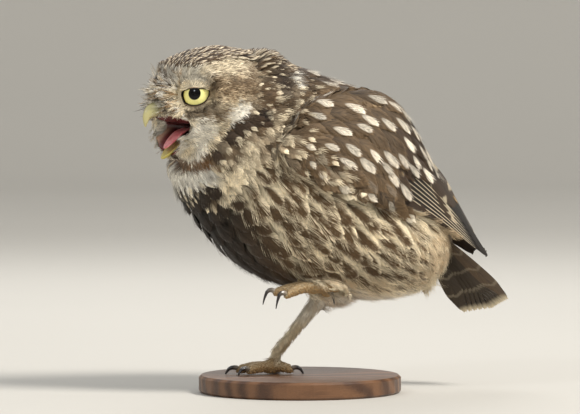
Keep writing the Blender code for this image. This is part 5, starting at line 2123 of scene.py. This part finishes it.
class Tail(Plumage):
    """The closed tail: twelve feathers that fan a little, the middle pair on top, turned and rolled as in the
    CAD."""

    ROOT = np.array((71.5, 0.0, 78.5))
    ANGLES = (48.0, -22.0, 10.0)
    LENGTH, PAIRS = 51.0, 6

    def axes(self) -> tuple[Array, Array, Array]:
        """Along the tail, across it and over it."""
        slope, roll, turn = (math.radians(angle) for angle in self.ANGLES)
        way = np.array((math.cos(slope) * math.cos(turn), math.cos(slope) * math.sin(turn), -math.sin(slope)))
        level = np.array((-math.sin(turn), math.cos(turn), 0.0))
        side = level * math.cos(roll) + np.cross(way, level) * math.sin(roll)
        return way, side, np.cross(way, side)

    def build(self) -> None:
        """Adds the tail in place of its CAD node, and the soft feathers over and under its root."""
        way, side, over = self.axes()
        shape = Shape.vane(8, 16, belly=0.7, foot=0.45, bow=0.14, fray=0.02, camber=0.03)
        placed = []
        for pair in range(self.PAIRS):
            for sign in (-1.0, 1.0):
                middle = sign * (1.0 + pair * (0.9 + 2.1 * shape.along))
                width = 10.5 + 2.6 * shape.along
                aside = middle + shape.across * width / 2
                run = shape.along * (self.LENGTH - 0.7 * pair)
                high = 0.8 - 0.24 * pair - 1.6 * (aside / 20.0) ** 2 + shape.rise * 5.0 - 0.05 * sign
                placed.append(self.ROOT + way * run[:, None] + side * aside[:, None] + over * high[:, None])
        placed = np.stack(placed)
        count = len(placed)
        roots = self.skin.sites(*self.skin.surface.nearest(placed[:, 0]))
        ground = tiled(hue(60, 49, 35), count)
        ground[-2] = hue(88, 70, 49)
        finish = FeatherFinish("tail_plumage", Pattern.BARS, reach=0.24, breadth=0.75, contrast=1.2,
                               wobble=1.6, tip=0.9, roughness=0.5, depth=0.2)
        self.coat.join("tail_feathers", placed, shape, roots, Paint.of(ground, Hue.CREAM, 0.2),
                       finish.material(), rng(32), nodes=("tail",),
                       shift=np.linspace(0, 0.05, count)[:, None])
        self.coverts(way, side, over)

    def coverts(self, way: Array, side: Array, over: Array) -> None:
        """Brown feathers over the root and cream locks under it, which all point along the tail.

        Args:
            way: Along the tail.
            side: Across it.
            over: Over it.
        """
        sites = self.scatter(("trunk",), 3.4, 34)
        offset = sites.points - self.ROOT
        near = (offset @ way > -26) & (np.abs(offset @ side) < 17) & (sites.points[:, 0] > 52)
        lower = sites.where(near & (offset @ over < -1))
        tint = Paint.of(tiled(hue(178, 160, 128), len(lower)), Hue.CREAM,
                        rng(44).uniform(0.2, 1.0, len(lower)))
        down = FeatherFinish("under_tail_plumage", Pattern.TIP, 0.5, 0.4, 0.4, 1.0, shaft=0.0)
        self.lay(Tract("under_tail_locks", Shape.lock(20, thin=0.03, fan=0.9, seed=10), (17.0, 25.0),
                       (6.0, 8.5), (0.3, 1.6), 13.0, free=0.9, steps=5, wrap=False, slot="pale_plumage"),
                 lower, tint, down.material(), 34, ways=np.tile(way - over * 0.1, (len(lower), 1)))
        upper = sites.where(near & (offset @ over > 0))
        tint = Paint.of(tiled(Hue.MANTLE, len(upper)), Hue.CREAM, rng(45).uniform(0.0, 1.0, len(upper)), 0.95)
        spotted = FeatherFinish("over_tail_plumage", Pattern.SPOT, 0.8, 0.14, 0.5, 1.4, 0.4)
        self.lay(Tract("over_tail_feathers", Shape.vane(5, 6, bow=0.3, fray=0.1), (17.0, 24.0), (7.0, 9.0),
                       (0.3, 1.4), 9.0, free=0.7, steps=5, wrap=False), upper, tint, spotted.material(), 35,
                 ways=np.tile(way, (len(upper), 1)))


class ToePads(Plumage):
    """The rough grains under the toes: small domes, six cells round and two up."""

    def build(self) -> None:
        """Adds the grains."""
        sites = self.scatter(FEET, 0.95, 27)
        under = sites.where(sites.normals[:, 2] < 0.15)
        angle = np.arange(6) * math.pi / 3
        ring = np.stack([np.cos(angle), np.sin(angle)], axis=1)
        flat = np.vstack([ring, ring * 0.7, [(0, 0)]])
        high = np.concatenate([np.full(6, -0.2), np.full(6, 0.55), [0.8]])
        quads = grid_quads(2, 6, wrap=True)
        caps = cap(np.arange(6)[::-1] + 6, 12)
        shape = Shape(flat[:, 0], np.clip(flat[:, 1], 0, 1), flat[:, 0], high, quads, caps)
        normal = under.normals
        one = unit(np.cross(normal, (0.3, 0.9, 0.2)))
        two = np.cross(normal, one)
        size = rng(28).uniform(0.38, 0.62, len(under))[:, None, None]
        aside = one[:, None] * flat[None, :, :1] + two[:, None] * flat[None, :, 1:]
        points = under.points[:, None] + aside * size + normal[:, None] * high[None, :, None] * size
        ground = tiled(hue(182, 146, 96), len(under))
        tint = Paint.of(ground, ground * 0.6, 0.5, rng(29).uniform(0.75, 1.15, len(under)))
        finish = FeatherFinish("toe_pad_skin", Pattern.TIP, 0.5, 0.5, shaft=0.0, roughness=0.55)
        self.coat.join("toe_pads", points, shape, under, tint, finish.material(), rng(30), "foot_skin")


class Studio:
    """The plain floor, the soft lights and the camera."""

    AZIMUTH, ELEVATION = math.radians(-15.0), math.radians(2.5)
    TARGET = np.array((-0.00493, 0.00132, 0.0952))
    DISTANCE, LENS = 2.2, 266.0

    def build(self) -> None:
        """Adds them all."""
        self.floor()
        self.camera()
        self.light("key", (1.3, -1.7, 2.5), 0.9, 112.0, (1.0, 0.96, 0.9))
        self.light("back", (0.1, 0.9, 0.9), 0.8, 4.5, (1.0, 1.0, 1.0))
        self.light("spark", (-1.21, -0.80, 1.06), 0.24, 4.0, (0.9, 0.95, 1.0))
        world = bpy.data.worlds.new("studio")
        world.use_nodes = True
        sky = world.node_tree.nodes["Background"].inputs
        sky["Color"].default_value, sky["Strength"].default_value = (0.86, 0.87, 0.88, 1.0), 0.62
        bpy.context.scene.world = world
        bpy.context.scene.view_settings.view_transform = "Standard"

    def floor(self) -> None:
        """A round floor that sweeps up into a wall all round: a flat disc, a quarter circle, a short
        cylinder."""
        rows, columns, flat, sweep, top = 24, 96, 2700.0, 1500.0, 2600.0
        bend = np.linspace(0, math.pi / 2, rows)
        away = np.concatenate([[0.5, flat * 0.5], flat + sweep * np.sin(bend), [flat + sweep]])
        high = np.concatenate([[0.0, 0.0], sweep * (1 - np.cos(bend)), [top]])
        angle = even_angles(columns)
        points = np.stack([away[:, None] * np.cos(angle), away[:, None] * np.sin(angle),
                           high[:, None] + 0 * angle], -1)
        points = np.vstack([points.reshape(-1, 3), (0.0, 0.0, 0.0)])
        middle = cap(np.arange(columns)[::-1], len(points) - 1)
        quads = grid_quads(len(away), columns, wrap=True)[:, ::-1]
        mesh = make_mesh("floor", points, quads, middle)
        floor = bpy.data.objects.new("floor", mesh)
        bpy.context.scene.collection.objects.link(floor)
        mesh.materials.append(FloorFinish("floor", hue(198, 195, 188)).material())

    def camera(self) -> None:
        """The camera at the photograph's angle: a long lens, so that the outline is nearly parallel."""
        data = bpy.data.cameras.new("camera")
        data.lens, data.sensor_width, data.clip_start = self.LENS, 36.0, 0.01
        camera = bpy.data.objects.new("camera", data)
        back = np.array((math.sin(self.AZIMUTH) * math.cos(self.ELEVATION),
                         -math.cos(self.AZIMUTH) * math.cos(self.ELEVATION), math.sin(self.ELEVATION)))
        camera.location = self.TARGET + back * self.DISTANCE
        camera.rotation_euler = (math.pi / 2 - self.ELEVATION, 0.0, self.AZIMUTH)
        bpy.context.scene.collection.objects.link(camera)
        bpy.context.scene.camera = camera

    def light(self, name: str, place: Colour, size: float, power: float, colour: Colour) -> None:
        """A soft square light that looks at the bird.

        Args:
            name: Its name.
            place: Where it hangs, in metres.
            size: Its side.
            power: Its watts.
            colour: Its colour.
        """
        data = bpy.data.lights.new(name, "AREA")
        data.size, data.energy, data.color = size, power, colour
        lamp = bpy.data.objects.new(name, data)
        away = np.array(place) - self.TARGET
        lamp.location = place
        lamp.rotation_euler = (math.acos(away[2] / np.linalg.norm(away)), 0.0,
                               math.atan2(away[1], away[0]) + math.pi / 2)
        bpy.context.scene.collection.objects.link(lamp)


def dress_base() -> None:
    """Gives the CAD base its wood."""
    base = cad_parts["stand_base"]
    wood = WoodFinish("base_wood").material()
    if base.material_slots:
        for slot in base.material_slots:
            slot.material = wood
    else:
        base.data.materials.append(wood)
    log.info("stand_base: wood")


def main() -> None:
    """Builds the bird from the skin outward, then the base and the studio."""
    logging.basicConfig(level=logging.INFO, format="%(message)s")
    head = HeadFrame.from_eyes()
    profile = Profile(head)
    skin = Skin(head, profile, Markings(profile))
    skin.piece()
    eyes = [Eye(head, skin, side) for side in SIDES]
    for eye in eyes:
        eye.ball()
        eye.lids()
    Mouth(head).build()
    ClawSet().build()
    coat = Coat(skin)
    for plumage in (HeadCoat(coat, eyes), BodyCoat(coat), WingQuills(coat), Tail(coat), ToePads(coat)):
        plumage.build()
    dress_base()
    Studio().build()
    log.info("coat: %d triangles", coat.triangles)


if __name__ == "__main__":
    main()
